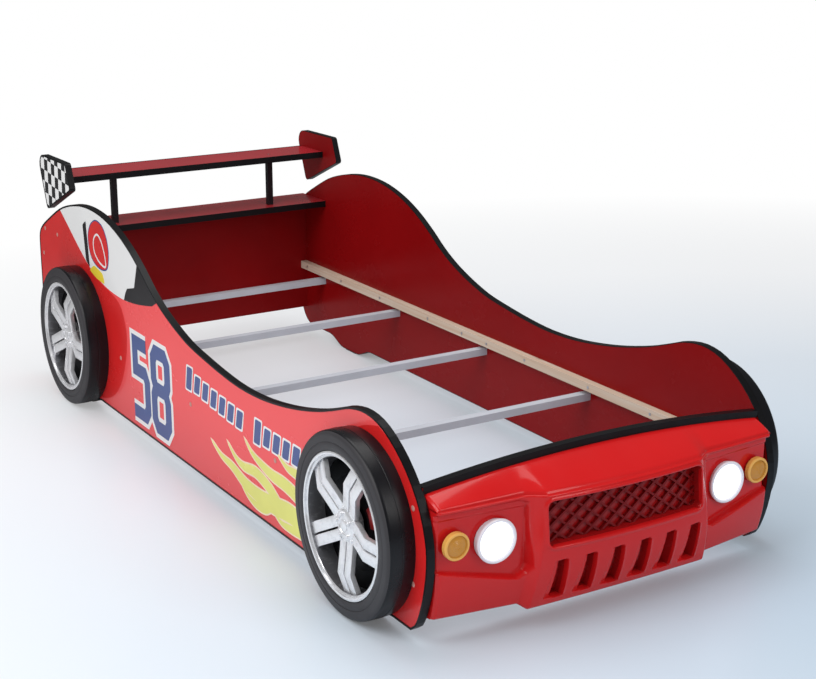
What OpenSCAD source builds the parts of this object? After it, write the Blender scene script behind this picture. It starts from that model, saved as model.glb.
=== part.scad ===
// Child's bed in the shape of a racing car.
// X runs across the bed, the grille faces -Y, and the floor is Z = 0.

/* [Boards] */
// Distance between the inner faces of the side panels
inner_w = 923; // [915:1:931]
// Thickness of every board
board_t = 18; // [17:0.5:19]
// Thickness of the black edging round a board
edging_t = 2; // [1.5:0.5:2.5]
// Width of the lip that the edging lays on the outer face
lip_w = 3; // [2:0.5:5]
// Height of that lip above the face
lip_t = 1; // [0.6:0.2:1.4]
// Thickness of the glides under the feet
glide_t = 3; // [2:0.5:4]

/* [Bed frame] */
// Underside of the side rails
rail_z = 234; // [230:1:238]
// Height of a side rail
rail_h = 24; // [22:1:28]
// Thickness of a side rail
rail_t = 22; // [20:1:24]
// Place of the joint between the two lengths of rail
rail_joint_y = 70; // [66:1:74]
// Underside of the cross bars
bar_z = 202; // [198:1:206]
// Height of a cross bar
bar_h = 20; // [18:1:20]
// Width of a cross bar
bar_w = 25; // [24:1:30]
// Wall of a cross bar
bar_wall = 1.5; // [1.2:0.1:2]
// Distance between two cross bars
bar_pitch = 492; // [485:1:495]
// Place of the rearmost cross bar
bar_rear_y = 1029; // [1020:1:1035]

/* [Wing] */
// Underside of the wing board
wing_z = 645; // [640:1:650]
// Front edge of the wing board
wing_front_y = 1008; // [1004:1:1012]
// Depth of the wing board
wing_depth = 152; // [148:1:156]
// Distance between the outer faces of the end plates
wing_w = 942; // [930:1:944]
// Distance of a post from the middle of the bed
post_x = 275; // [260:1:290]
// Side of a square post
post_w = 18; // [16:1:20]

/* [Wheels] */
// Radius of a tyre
tyre_r = 211; // [208:1:211]
// Height of the wheel centres
wheel_z = 212; // [212:1:214]
// Place of the front wheels
front_wheel_y = -876; // [-880:1:-872]
// Place of the rear wheels
rear_wheel_y = 842; // [838:1:846]
// Distance that a wheel stands out of its panel
wheel_depth = 66; // [62:1:68]
// Radius of the dish that takes the rim
dish_r = 163; // [160:1:165]

/* [Bumper] */
// Foremost point of the bumper
bumper_front_y = -1199; // [-1199:1:-1198]
// Half width of the bumper
bumper_half_w = 459; // [455:1:460]
// Wall of the bumper moulding
bumper_wall = 3; // [2.5:0.5:3.5]
// Underside of the bumper
bumper_z = 55; // [52:1:58]
// Distance of a headlight from the middle
lamp_x = 319; // [317:1:321]
// Height of the lamps
lamp_z = 227; // [225:1:229]
// Distance of an indicator from the middle
indicator_x = 416; // [415:1:417]

/* [Hidden] */
$fn = 48;

RED = [0.72, 0.05, 0.05];
CLEAR = 0.02;
CUT = 1;
inner_x = inner_w / 2;
outer_x = inner_x + board_t;
panel_bottom_z = 31;
foot_flat = 45;
foot_ramp = 95;
foot_y = [853, -853];
curve_steps = 3;
screw_r = 3;
thin_screw_r = 2;
screw_head_r = 5;
wood_head_r = 4;
wood_head_h = 1.2;
wing_screw_l = 44;
rail_bite = 11;
bumper_bite = 11;
panel_screw_l = 48;
wheel_screw_ring_r = 70;

// Boards between the panels
headboard_y = 1156;
headboard_bottom_z = 91;
shelf_z = 476;
shelf_front_y = 1013;
shelf_edge_h = 20;
front_board_y = -1084;
front_board_bottom_z = 58;
front_board_end_z = 353;
front_board_rise = 28;
front_lip_w = 14;

chin_z = 175;
chin_y = -1168;
hood_rear_z = 338;
hood_front_z = 315;
flange_h = 30;
recess_inner_x = 245;
recess_inner_y = -1150;
recess_outer_x = 452;
recess_outer_y = -1126;

bar_ys = [for (i = [0:3]) bar_rear_y - i * bar_pitch];
rail_screw_offsets = [65, 255, 545, 800, 1040];
rail_screw_z = rail_z + rail_h / 2;
plug_l = 40;

lamp_r = 42;
lamp_ring_wall = 4;
lamp_front_y = -1153;
lamp_sleeve_end_y = -1132;
lamp_board_y = -1120.2;
lamp_board_r = 43;
lamp_board_t = 1.6;
led_ring_r = 26;
led_r = 2.5;
led_h = 1.5;
housing_gap = 3.5;
housing_wall = 1.5;
housing_l = 36;
housing_floor = 3;
post_ring_r = 38;
post_r = 3;
cell_r = 7.2;
cell_l = 50;
cell_pitch = 15.5;
cell_y = -1110;
holder_y = -1102;
holder_t = 2.98;
holder_w = 44;
holder_h = 52;
lamp_ring_gap = 1;
lamp_bore_gap = 0.5;
indicator_rim_w = 4;
indicator_hole_gap = 0.5;
indicator_front_y = -1148;
indicator_rise = 8;
indicator_r = 31;
spoke_count = 5;
spoke_start = 26;
spoke_bar_w = 21;
spoke_offset = 13;
wheel_gap = 2;

// Top edge of a side panel, from the rear corner over both humps to the front foot
top_points = [
  [1199, 330], [1199, 420], [1192, 462], [1160, 492], [1087, 530], [988, 575], [895, 602],
  [807, 617], [727, 621], [645, 616], [568, 602], [495, 580], [425, 550], [355, 511],
  [291, 470], [226, 437], [161, 412], [97, 392], [34, 377], [-60, 364], [-160, 353],
  [-263, 347], [-374, 351], [-480, 364], [-581, 383], [-678, 408], [-752, 433], [-815, 455],
  [-885, 464], [-955, 449], [-1031, 402], [-1092, 335], [-1125, 259], [-1131, 195],
  [-1118, 122], [-1099, 68], [-1085, 45]
];

// A point on the smooth curve from b to c, where a and d are the points on either side
function curve_point(a, b, c, d, t) =
  0.5 * (2 * b + (c - a) * t + (2 * a - 5 * b + 4 * c - d) * t * t
  + (3 * b - a - 3 * c + d) * t * t * t);

// A smooth curve through the points p, in n steps between two of them
function smooth_curve(p, n) = concat(
  [for (i = [0:len(p) - 2]) for (k = [0:n - 1])
    curve_point(p[max(i - 1, 0)], p[i], p[i + 1], p[min(i + 2, len(p) - 1)], k / n)],
  [p[len(p) - 1]]);

// A closed outline moved inwards by d
function inset(p, d) = [
  for (i = [0:len(p) - 1])
    let (n = len(p), t = p[(i + 1) % n] - p[(i + n - 1) % n], u = t / norm(t))
      p[i] - d * [u[1], -u[0]]
];

// A corner at p between its neighbours a and b, rounded with radius r
function round_corner(a, p, b, r, n = 6) =
  let (
    u = (a - p) / norm(a - p),
    v = (b - p) / norm(b - p),
    half = acos(u * v) / 2,
    centre = p + (u + v) / norm(u + v) * r / sin(half),
    start = p + u * r / tan(half) - centre,
    sweep = 180 - 2 * half,
    side = u[0] * v[1] - u[1] * v[0] < 0 ? 1 : -1
  )
  [for (k = [0:n]) let (w = side * sweep * k / n)
    centre + [start[0] * cos(w) - start[1] * sin(w), start[0] * sin(w) + start[1] * cos(w)]];

// A closed polygon with every corner rounded
function round_polygon(p, r) = [
  for (i = [0:len(p) - 1])
    for (q = round_corner(p[(i + len(p) - 1) % len(p)], p[i], p[(i + 1) % len(p)], r[i])) q
];

function ease(t) = t * t * (3 - 2 * t);

// One foot of a panel along Y, from front to rear
function foot(y) = concat(
  [for (k = [0:6]) [y - foot_flat - foot_ramp * (1 - k / 6),
    panel_bottom_z - (panel_bottom_z - glide_t) * ease(k / 6)]],
  [for (k = [0:6]) [y + foot_flat + foot_ramp * k / 6,
    glide_t + (panel_bottom_z - glide_t) * ease(k / 6)]]);

rear_corner = [for (a = [0:15:90]) [1119 + 80 * sin(a), 130 - (130 - panel_bottom_z) * cos(a)]];
panel_outline = concat(smooth_curve(top_points, curve_steps), [[-1066, panel_bottom_z]],
  foot(foot_y[1]), foot(foot_y[0]), rear_corner);

plate_outline = round_polygon(
  [[1198, 717], [945, 719], [913, 640], [1131, 546]], [36, 12, 10, 14]);

function front_arch(x) = front_board_end_z + front_board_rise * (1 - pow(x / inner_x, 2));
front_board_outline = concat(
  [for (k = [-12:12]) [-k * inner_x / 12, front_arch(k * inner_x / 12)]],
  [[-inner_x, front_board_bottom_z], [inner_x, front_board_bottom_z]]);

// Front face of the bumper in plan
function bumper_face(x) = bumper_front_y + 66 * pow(abs(x) / 456, 2.2);

// A slab on the outline p in Y and Z, from x0 towards +X
module slab_x(x0, t, p) {
  translate([x0, 0, 0]) rotate([90, 0, 90]) linear_extrude(t) polygon(p);
}

// A slab on the outline p in X and Z, from y0 towards +Y
module slab_y(y0, t, p) {
  translate([0, y0 + t, 0]) rotate([90, 0, 0]) linear_extrude(t) polygon(p);
}

module along_x(x, y, z, r, l) {
  translate([x, y, z]) rotate([0, 90, 0]) cylinder(r = r, h = l);
}

module along_y(x, y, z, r, l) {
  translate([x, y + l, z]) rotate([90, 0, 0]) cylinder(r = r, h = l);
}

module on_both_sides() {
  children();
  mirror([1, 0, 0]) children();
}

// Places of the screws through a side panel: Y, Z
panel_screw_places = concat(
  [[1139, shelf_z + board_t / 2], [1027, shelf_z + board_t / 2]],
  [[headboard_y + board_t / 2, 400], [headboard_y + board_t / 2, 140]],
  [[front_board_y + board_t / 2, 310], [front_board_y + board_t / 2, 140]],
  [for (y = bar_ys) [y, bar_z + bar_h / 2]]);

module panel_screw_shanks(r) {
  on_both_sides() for (p = panel_screw_places)
    along_x(outer_x - panel_screw_l - 2, p[0], p[1], r, panel_screw_l + 2 + CUT);
}

// Places of the rail screws along the rail
rail_screw_ys = concat([for (d = rail_screw_offsets) rail_joint_y + d],
  [for (d = rail_screw_offsets) rail_joint_y - d]);

module rail_screw_shanks(r) {
  on_both_sides() for (y = rail_screw_ys)
    along_x(inner_x - rail_t - CUT, y, rail_screw_z, r, rail_t + rail_bite + 1 + CUT);
}

wing_screw_y = wing_front_y + 53;
wing_top_z = wing_z + board_t;

module wing_screw_shanks(r) {
  on_both_sides() {
    translate([post_x, wing_screw_y, wing_top_z - wing_screw_l - 1])
      cylinder(r = r, h = wing_screw_l + 1 + CUT);
    translate([post_x, wing_screw_y, shelf_z - CUT]) cylinder(r = r, h = wing_screw_l + 1 + CUT);
  }
}

function wheel_screw_places(y) = [
  for (a = [90, 210, 330]) [y + wheel_screw_ring_r * cos(a), wheel_z + wheel_screw_ring_r * sin(a)]
];

module wheel_screw_shanks(r) {
  on_both_sides() for (y = [front_wheel_y, rear_wheel_y]) for (p = wheel_screw_places(y))
    along_x(outer_x - 15, p[0], p[1], r, 50);
}

bumper_screw_places = [for (x = [-400, -150, 150, 400]) [x, bumper_z + flange_h - 10]];

module bumper_screw_shanks(r) {
  for (p = bumper_screw_places) along_y(p[0], front_board_y - 10, p[1], r, 10 + bumper_bite + 1);
}

module panel() {
  difference() {
    slab_x(inner_x, board_t, inset(panel_outline, edging_t));
    panel_screw_shanks(screw_r + CLEAR);
    rail_screw_shanks(thin_screw_r + CLEAR);
    wheel_screw_shanks(thin_screw_r + CLEAR);
  }
}

module side_panel_right() color(RED) mirror([1, 0, 0]) panel();

module side_panel_left() color(RED) panel();

// Edging of a board that lies in Y and Z, with a lip on the face at x0 + t
module edging_x(x0, t, p) {
  difference() {
    slab_x(x0, t + lip_t, p);
    slab_x(x0 - CUT, t + CUT, inset(p, edging_t));
    slab_x(x0 - CUT, t + lip_t + 2 * CUT, inset(p, edging_t + lip_w));
  }
}

module panel_edging_right() color("black") mirror([1, 0, 0]) edging_x(inner_x, board_t, panel_outline);

module panel_edging_left() color("black") edging_x(inner_x, board_t, panel_outline);

module headboard() color(RED) difference() {
  translate([-inner_x, headboard_y, headboard_bottom_z])
    cube([inner_w, board_t, shelf_z - headboard_bottom_z]);
  panel_screw_shanks(screw_r + CLEAR);
}

module shelf() color(RED) difference() {
  translate([-inner_x, shelf_front_y, shelf_z])
    cube([inner_w, headboard_y + board_t - shelf_front_y, board_t]);
  panel_screw_shanks(screw_r + CLEAR);
  wing_screw_shanks(thin_screw_r + CLEAR);
}

module shelf_edging() color("black") {
  translate([-inner_x, shelf_front_y - edging_t, shelf_z + board_t - shelf_edge_h])
    cube([inner_w, edging_t, shelf_edge_h]);
}

module front_board() color(RED) difference() {
  slab_y(front_board_y, board_t, front_board_outline);
  panel_screw_shanks(screw_r + CLEAR);
  bumper_screw_shanks(thin_screw_r + CLEAR);
}

// A strip that follows the arched top of the front board between two heights above it
function arch_strip(low, high) = concat(
  [for (k = [-12:12]) [-k * inner_x / 12, front_arch(k * inner_x / 12) + high]],
  [for (k = [-12:12]) [k * inner_x / 12, front_arch(k * inner_x / 12) + low]]);

module front_board_edging() color("black") {
  slab_y(front_board_y - lip_t, board_t + 2 * lip_t, arch_strip(0, edging_t));
  slab_y(front_board_y - lip_t, lip_t, arch_strip(-front_lip_w, 0));
  slab_y(front_board_y + board_t, lip_t, arch_strip(-front_lip_w, 0));
}

// The bumper as a solid, with all its faces but the open back moved inwards by d
module bumper_solid(d) {
  w = bumper_half_w - d;
  back_y = front_board_y + (d > 0 ? CUT : 0);
  plan = concat([for (k = [-16:16]) [k * w / 16, bumper_face(k * w / 16) + d]],
    [[w, back_y], [-w, back_y]]);
  side = [
    [bumper_front_y - CUT, chin_z], [bumper_front_y + d, chin_z], [chin_y + d, bumper_z + d],
    [back_y + CUT, bumper_z + d], [back_y + CUT, hood_rear_z - d], [bumper_front_y - CUT, hood_front_z - d]
  ];
  difference() {
    intersection() {
      linear_extrude(400) polygon(plan);
      slab_x(-inner_x, inner_w, side);
    }
    on_both_sides() lamp_recess(d);
  }
}

// The pocket that holds the lamps on one side, grown by d
module lamp_recess(d) {
  outer = recess_outer_x + (d > 0 ? 20 : 0);
  inner = recess_inner_x - d;
  intersection() {
    translate([0, 0, 100]) linear_extrude(300)
      polygon([[outer, recess_outer_y + d], [inner, recess_inner_y + d], [inner, -1300], [outer, -1300]]);
    slab_y(-1310, 250, [[outer, 306 + d], [inner, 306 + d], [inner, 166 - d],
      [inner + 16, 152 - d], [outer, 176 - d]]);
  }
}

grille_x = 207;
grille_low_z = 204;
grille_high_z = 300;
slot_pitch = 74.5;

module slot_outline() {
  slab_y(-1300, 200, round_polygon(
    [[17, 168], [-8, 168], [-25, 82], [18, 82]], [7, 7, 9, 9]));
}

module bumper_shell() color(RED) difference() {
  bumper_solid(0);
  difference() {
    bumper_solid(bumper_wall);
    translate([-inner_x, front_board_y - bumper_wall, 0]) cube([inner_w, 50, bumper_z + flange_h]);
  }
  slab_y(-1300, 200, round_polygon([[grille_x, grille_high_z], [-grille_x, grille_high_z],
    [-grille_x, grille_low_z], [grille_x, grille_low_z]], [8, 8, 8, 8]));
  for (k = [-2.5:2.5]) translate([k * slot_pitch, 0, 0]) slot_outline();
  on_both_sides() {
    along_y(lamp_x, -1250, lamp_z, lamp_r + lamp_ring_gap + lamp_ring_wall + lamp_bore_gap, 150);
    along_y(indicator_x, -1250, lamp_z + indicator_rise,
      indicator_r - indicator_rim_w + indicator_hole_gap, 150);
  }
  bumper_screw_shanks(thin_screw_r + CLEAR);
}

mesh_pitch = 46;
mesh_bar = 7;

module diamond() rotate([0, 0, 45]) square(mesh_pitch / sqrt(2) - mesh_bar, center = true);

module grille_mesh() color([0.5, 0.02, 0.02]) {
  translate([0, -1158, (grille_low_z + grille_high_z) / 2]) rotate([90, 0, 0]) difference() {
    linear_extrude(5) square([2 * grille_x + 30, grille_high_z - grille_low_z + 20], center = true);
    translate([0, 0, -CUT]) linear_extrude(5 + 2 * CUT) {
      for (i = [-4:4]) for (j = [-1:1]) translate([i * mesh_pitch, j * mesh_pitch * 0.72])
        scale([1, 0.72]) diamond();
      for (i = [-4:3]) for (j = [-1.5:1.5]) translate([(i + 0.5) * mesh_pitch, j * mesh_pitch * 0.72])
        if (abs(j) < 1) scale([1, 0.72]) diamond();
    }
  }
}

module lamp_ring() {
  r = lamp_r + lamp_ring_gap;
  translate([lamp_x, lamp_front_y + 2, lamp_z]) rotate([-90, 0, 0]) rotate_extrude()
    polygon([[r, 0], [r + lamp_ring_wall, 0], [r + 7, 1.5], [r + 7, 3],
      [r + lamp_ring_wall, 3], [r + lamp_ring_wall, 19], [r, 19]]);
}

module lamp_lens() {
  r = lamp_r;
  translate([lamp_x, 0, lamp_z]) rotate([-90, 0, 0]) translate([0, 0, lamp_front_y])
    rotate_extrude() polygon([[0, 0], [12, 0.3], [22, 1], [31, 2.2], [38, 4], [r, 6.5],
      [r, 21.3], [r + 2.6, 21.3], [r + 2.6, 23.3], [r - 3, 23.3], [r - 3, 8.5], [4, 6.5],
      [4, 28.5], [0, 28.5]]);
}

module lamp_housing() {
  r = lamp_r + housing_gap;
  floor_z = housing_l - housing_floor;
  post_start = lamp_board_y + lamp_board_t - lamp_sleeve_end_y;
  translate([lamp_x, lamp_sleeve_end_y, lamp_z]) rotate([-90, 0, 0]) {
    rotate_extrude() polygon([[r, 0], [r + housing_wall, 0], [r + housing_wall, housing_l],
      [0, housing_l], [0, floor_z], [r, floor_z]]);
    for (a = [45, 135, 225, 315]) rotate(a) translate([post_ring_r, 0, post_start])
      cylinder(r = post_r, h = floor_z - post_start);
  }
}

module lamp_board() {
  along_y(lamp_x, lamp_board_y, lamp_z, lamp_board_r, lamp_board_t);
  for (a = [0:60:300])
    translate([lamp_x + led_ring_r * cos(a), lamp_board_y, lamp_z + led_ring_r * sin(a)])
      rotate([90, 0, 0]) cylinder(r = led_r, h = led_h);
}

module lamp_battery_pack() {
  for (i = [-1:1]) translate([lamp_x + i * cell_pitch, cell_y, lamp_z - cell_l / 2])
    cylinder(r = cell_r, h = cell_l);
  translate([lamp_x - holder_w / 2, holder_y, lamp_z - holder_h / 2])
    cube([holder_w, holder_t, holder_h]);
}

spring_r = 12;
spring_wire_r = 0.8;
spring_turns = 5;
spring_l = 25.5;
spring_steps = 16;
spring_sides = 6;

// A helical spring as one swept tube along +Z
module spring() {
  rings = spring_turns * spring_steps;
  points = [
    for (i = [0:rings])
      let (a = 360 * i / spring_steps, z = spring_wire_r + (spring_l - 2 * spring_wire_r) * i / rings)
        for (k = [0:spring_sides - 1])
          let (b = 360 * k / spring_sides, r = spring_r + spring_wire_r * cos(b))
            [r * cos(a), r * sin(a), z + spring_wire_r * sin(b)]
  ];
  walls = [
    for (i = [0:rings - 1]) for (k = [0:spring_sides - 1])
      let (m = (k + 1) % spring_sides, a = i * spring_sides, b = (i + 1) * spring_sides)
        [a + k, b + k, b + m, a + m]
  ];
  first = [for (k = [0:spring_sides - 1]) k];
  last = [for (k = [spring_sides - 1:-1:0]) rings * spring_sides + k];
  polyhedron(points, concat(walls, [first], [last]));
}

module lamp_spring() translate([lamp_x, lamp_board_y - 0.1, lamp_z]) rotate([90, 0, 0]) spring();

module lamp_indicator() {
  stem_r = indicator_r - indicator_rim_w;
  translate([indicator_x, indicator_front_y, lamp_z + indicator_rise]) rotate([-90, 0, 0]) rotate_extrude()
    polygon([[0, 0], [14, 0.8], [24, 3], [stem_r, 6], [indicator_r, 6], [indicator_r, 11],
      [stem_r, 14], [stem_r, 22], [0, 22]]);
}

module headlight_ring_right() color("gainsboro") mirror([1, 0, 0]) lamp_ring();
module headlight_ring_left() color("gainsboro") lamp_ring();
module headlight_lens_right() color("white") mirror([1, 0, 0]) lamp_lens();
module headlight_lens_left() color("white") lamp_lens();
module headlight_housing_right() color("dimgray") mirror([1, 0, 0]) lamp_housing();
module headlight_housing_left() color("dimgray") lamp_housing();
module headlight_light_board_right() color("green") mirror([1, 0, 0]) lamp_board();
module headlight_light_board_left() color("green") lamp_board();
module headlight_battery_pack_right() color("goldenrod") mirror([1, 0, 0]) lamp_battery_pack();
module headlight_battery_pack_left() color("goldenrod") lamp_battery_pack();
module headlight_spring_right() color("silver") mirror([1, 0, 0]) lamp_spring();
module headlight_spring_left() color("silver") lamp_spring();
module indicator_lens_right() color("orange") mirror([1, 0, 0]) lamp_indicator();
module indicator_lens_left() color("orange") lamp_indicator();

// A body of revolution on the wheel axis at y, with its profile in radius and distance from the panel
module wheel_revolve(y, p) {
  translate([outer_x, y, wheel_z]) rotate([0, 90, 0]) rotate_extrude($fn = 96) polygon(p);
}

shoulder_r = 14;
tyre_wall = 3;
dish_floor = 20;
hub_r = 42;
hub_face = wheel_depth - 9;
hub_back = hub_face - 21;
spoke_back = hub_face - 18;
spoke_t = 13;
cap_seat_r = 20;
cap_seat = hub_face - 12;

// Outer half of the tyre profile, moved inwards by d
function tyre_profile(d) = concat(
  [[0, dish_floor - d], [dish_r + d, dish_floor - d], [dish_r + d, wheel_depth - d]],
  [for (a = [90:-15:0]) [tyre_r - shoulder_r + (shoulder_r - d) * cos(a),
    wheel_depth - shoulder_r + (shoulder_r - d) * sin(a)]],
  [[tyre_r - d, wheel_gap - (d > 0 ? CUT : 0)], [0, wheel_gap - (d > 0 ? CUT : 0)]]);

module tyre(y) {
  difference() {
    union() {
      difference() {
        wheel_revolve(y, tyre_profile(0));
        wheel_revolve(y, tyre_profile(tyre_wall));
      }
      for (p = wheel_screw_places(y)) along_x(outer_x, p[0], p[1], 9, dish_floor - 1);
    }
    wheel_screw_shanks(thin_screw_r + CLEAR);
  }
}

// One spoke: two bars side by side, pointing up from the hub
module spoke() {
  for (s = [-1, 1]) linear_extrude(spoke_t)
    translate([s * spoke_offset - spoke_bar_w / 2, 26]) square([spoke_bar_w, dish_r - 35]);
}

module rim(y) {
  difference() {
    union() {
      wheel_revolve(y, [[dish_r - 12, dish_floor], [dish_r, dish_floor], [dish_r, wheel_depth - 2],
        [dish_r - 4, wheel_depth - 2], [dish_r - 12, wheel_depth - 10]]);
      wheel_revolve(y, [[0, hub_back], [hub_r, hub_back], [hub_r, hub_face - 3],
        [hub_r - 4, hub_face], [0, hub_face]]);
      translate([outer_x + spoke_back, y, wheel_z]) rotate([90, 0, 90])
        for (i = [0:spoke_count - 1]) rotate(spoke_start + i * 360 / spoke_count) spoke();
    }
    wheel_revolve(y, [[0, cap_seat], [cap_seat_r, cap_seat], [cap_seat_r, 80], [0, 80]]);
  }
}

module hub_cap(y) {
  wheel_revolve(y, [[0, cap_seat], [cap_seat_r, cap_seat], [cap_seat_r, hub_face], [24, hub_face],
    [24, hub_face + 3], [18, hub_face + 6], [0, hub_face + 7]]);
  for (i = [0:spoke_count - 1]) {
    a = 90 + (i + 0.5) * 360 / spoke_count;
    translate([outer_x + hub_face, y + 28 * cos(a), wheel_z + 28 * sin(a)])
      rotate([0, 90, 0]) cylinder(r = 3, h = 2);
  }
}

module tyre_front_right() color("black") mirror([1, 0, 0]) tyre(front_wheel_y);
module tyre_front_left() color("black") tyre(front_wheel_y);
module tyre_rear_right() color("black") mirror([1, 0, 0]) tyre(rear_wheel_y);
module tyre_rear_left() color("black") tyre(rear_wheel_y);
module rim_front_right() color("silver") mirror([1, 0, 0]) rim(front_wheel_y);
module rim_front_left() color("silver") rim(front_wheel_y);
module rim_rear_right() color("silver") mirror([1, 0, 0]) rim(rear_wheel_y);
module rim_rear_left() color("silver") rim(rear_wheel_y);
module hub_cap_front_right() color("gray") mirror([1, 0, 0]) hub_cap(front_wheel_y);
module hub_cap_front_left() color("gray") hub_cap(front_wheel_y);
module hub_cap_rear_right() color("gray") mirror([1, 0, 0]) hub_cap(rear_wheel_y);
module hub_cap_rear_left() color("gray") hub_cap(rear_wheel_y);

module wheel_screws() color("silver") on_both_sides()
  for (y = [front_wheel_y, rear_wheel_y]) for (p = wheel_screw_places(y)) {
    along_x(outer_x - 14, p[0], p[1], thin_screw_r, 14 + dish_floor);
    along_x(outer_x + dish_floor, p[0], p[1], screw_head_r, 3);
  }

module rail(y0, l) {
  difference() {
    translate([inner_x - rail_t, y0, rail_z]) cube([rail_t, l, rail_h]);
    rail_screw_shanks(thin_screw_r + CLEAR);
  }
}

rail_rear_l = headboard_y - rail_joint_y;
rail_front_l = rail_joint_y - front_board_y - board_t - lip_t;

module rail_rear_right() color("burlywood") mirror([1, 0, 0]) rail(rail_joint_y, rail_rear_l);
module rail_rear_left() color("burlywood") rail(rail_joint_y, rail_rear_l);
module rail_front_right() color("burlywood") mirror([1, 0, 0])
  rail(rail_joint_y - rail_front_l, rail_front_l);
module rail_front_left() color("burlywood") rail(rail_joint_y - rail_front_l, rail_front_l);

module bar_hollow(l) cube([l, bar_w - 2 * bar_wall, bar_h - 2 * bar_wall], center = true);

module cross_bar(i) translate([0, bar_ys[i], bar_z + bar_h / 2]) difference() {
  cube([inner_w, bar_w, bar_h], center = true);
  bar_hollow(inner_w + 2 * CUT);
}

module cross_bar_1() color("lavender") cross_bar(0);
module cross_bar_2() color("lavender") cross_bar(1);
module cross_bar_3() color("lavender") cross_bar(2);
module cross_bar_4() color("lavender") cross_bar(3);

module bar_end_plugs() color("dimgray") difference() {
  on_both_sides() for (y = bar_ys)
    translate([inner_x - plug_l / 2, y, bar_z + bar_h / 2]) bar_hollow(plug_l);
  panel_screw_shanks(screw_r + CLEAR);
}

module wing_board() color(RED) difference() {
  translate([-wing_w / 2 + board_t + lip_t, wing_front_y + edging_t, wing_z])
    cube([wing_w - 2 * board_t - 2 * lip_t, wing_depth - 2 * edging_t, board_t]);
  wing_screw_shanks(thin_screw_r + CLEAR);
}

module wing_edging() color("black") for (y = [wing_front_y, wing_front_y + wing_depth - edging_t])
  translate([-wing_w / 2 + board_t + lip_t, y, wing_z - 1])
    cube([wing_w - 2 * board_t - 2 * lip_t, edging_t, board_t + 2]);

module wing_post() difference() {
  translate([post_x - post_w / 2, wing_screw_y - post_w / 2, shelf_z + board_t])
    cube([post_w, post_w, wing_z - shelf_z - board_t]);
  wing_screw_shanks(thin_screw_r + CLEAR);
}

module wing_post_right() color("black") mirror([1, 0, 0]) wing_post();
module wing_post_left() color("black") wing_post();

plate_x = wing_w / 2 - board_t - lip_t;

module wing_end_plate() slab_x(plate_x, board_t, inset(plate_outline, edging_t));
module wing_end_plate_right() color("white") mirror([1, 0, 0]) wing_end_plate();
module wing_end_plate_left() color("white") wing_end_plate();
module wing_plate_edging_right() color("black") mirror([1, 0, 0])
  edging_x(plate_x, board_t, plate_outline);
module wing_plate_edging_left() color("black") edging_x(plate_x, board_t, plate_outline);

module panel_screws() color("firebrick") on_both_sides() for (p = panel_screw_places) {
  along_x(outer_x - panel_screw_l, p[0], p[1], screw_r, panel_screw_l);
  translate([outer_x, p[0], p[1]]) rotate([0, 90, 0])
    rotate_extrude() polygon([[0, 0], [6.5, 0], [6.5, 0.6], [4, 1.9], [0, 2.2]]);
}

module wood_screws() color("silver") {
  on_both_sides() for (y = rail_screw_ys) {
    along_x(inner_x - rail_t, y, rail_screw_z, thin_screw_r, rail_t + rail_bite);
    along_x(inner_x - rail_t - wood_head_h, y, rail_screw_z, wood_head_r, wood_head_h);
  }
  on_both_sides() {
    translate([post_x, wing_screw_y, wing_top_z - wing_screw_l])
      cylinder(r = thin_screw_r, h = wing_screw_l);
    translate([post_x, wing_screw_y, wing_top_z]) cylinder(r = wood_head_r, h = wood_head_h);
    translate([post_x, wing_screw_y, shelf_z]) cylinder(r = thin_screw_r, h = wing_screw_l);
    translate([post_x, wing_screw_y, shelf_z - wood_head_h]) cylinder(r = wood_head_r, h = wood_head_h);
  }
}

module bumper_screws() color("silver") for (p = bumper_screw_places) {
  along_y(p[0], front_board_y - bumper_wall, p[1], thin_screw_r, bumper_wall + bumper_bite);
  along_y(p[0], front_board_y - bumper_wall - 2, p[1], screw_head_r, 2);
}

module foot_glides() color("black") on_both_sides() for (y = foot_y)
  translate([inner_x + 2, y - 32, 0]) cube([board_t - 4, 64, glide_t]);

side_panel_right();
side_panel_left();
panel_edging_right();
panel_edging_left();
headboard();
shelf();
shelf_edging();
front_board();
front_board_edging();
bumper_shell();
grille_mesh();
headlight_ring_right();
headlight_ring_left();
headlight_lens_right();
headlight_lens_left();
headlight_housing_right();
headlight_housing_left();
headlight_light_board_right();
headlight_light_board_left();
headlight_battery_pack_right();
headlight_battery_pack_left();
headlight_spring_right();
headlight_spring_left();
indicator_lens_right();
indicator_lens_left();
tyre_front_right();
tyre_front_left();
tyre_rear_right();
tyre_rear_left();
rim_front_right();
rim_front_left();
rim_rear_right();
rim_rear_left();
hub_cap_front_right();
hub_cap_front_left();
hub_cap_rear_right();
hub_cap_rear_left();
wheel_screws();
rail_rear_right();
rail_rear_left();
rail_front_right();
rail_front_left();
cross_bar_1();
cross_bar_2();
cross_bar_3();
cross_bar_4();
bar_end_plugs();
wing_board();
wing_edging();
wing_post_right();
wing_post_left();
wing_end_plate_right();
wing_end_plate_left();
wing_plate_edging_right();
wing_plate_edging_left();
panel_screws();
wood_screws();
bumper_screws();
foot_glides();
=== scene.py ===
"""A child's bed in the shape of a racing car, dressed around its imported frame."""

import logging
import math
from collections.abc import Iterable, Sequence
from dataclasses import dataclass
from enum import Enum

import bmesh
import bpy
import numpy as np
from mathutils import Matrix, Vector


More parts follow.
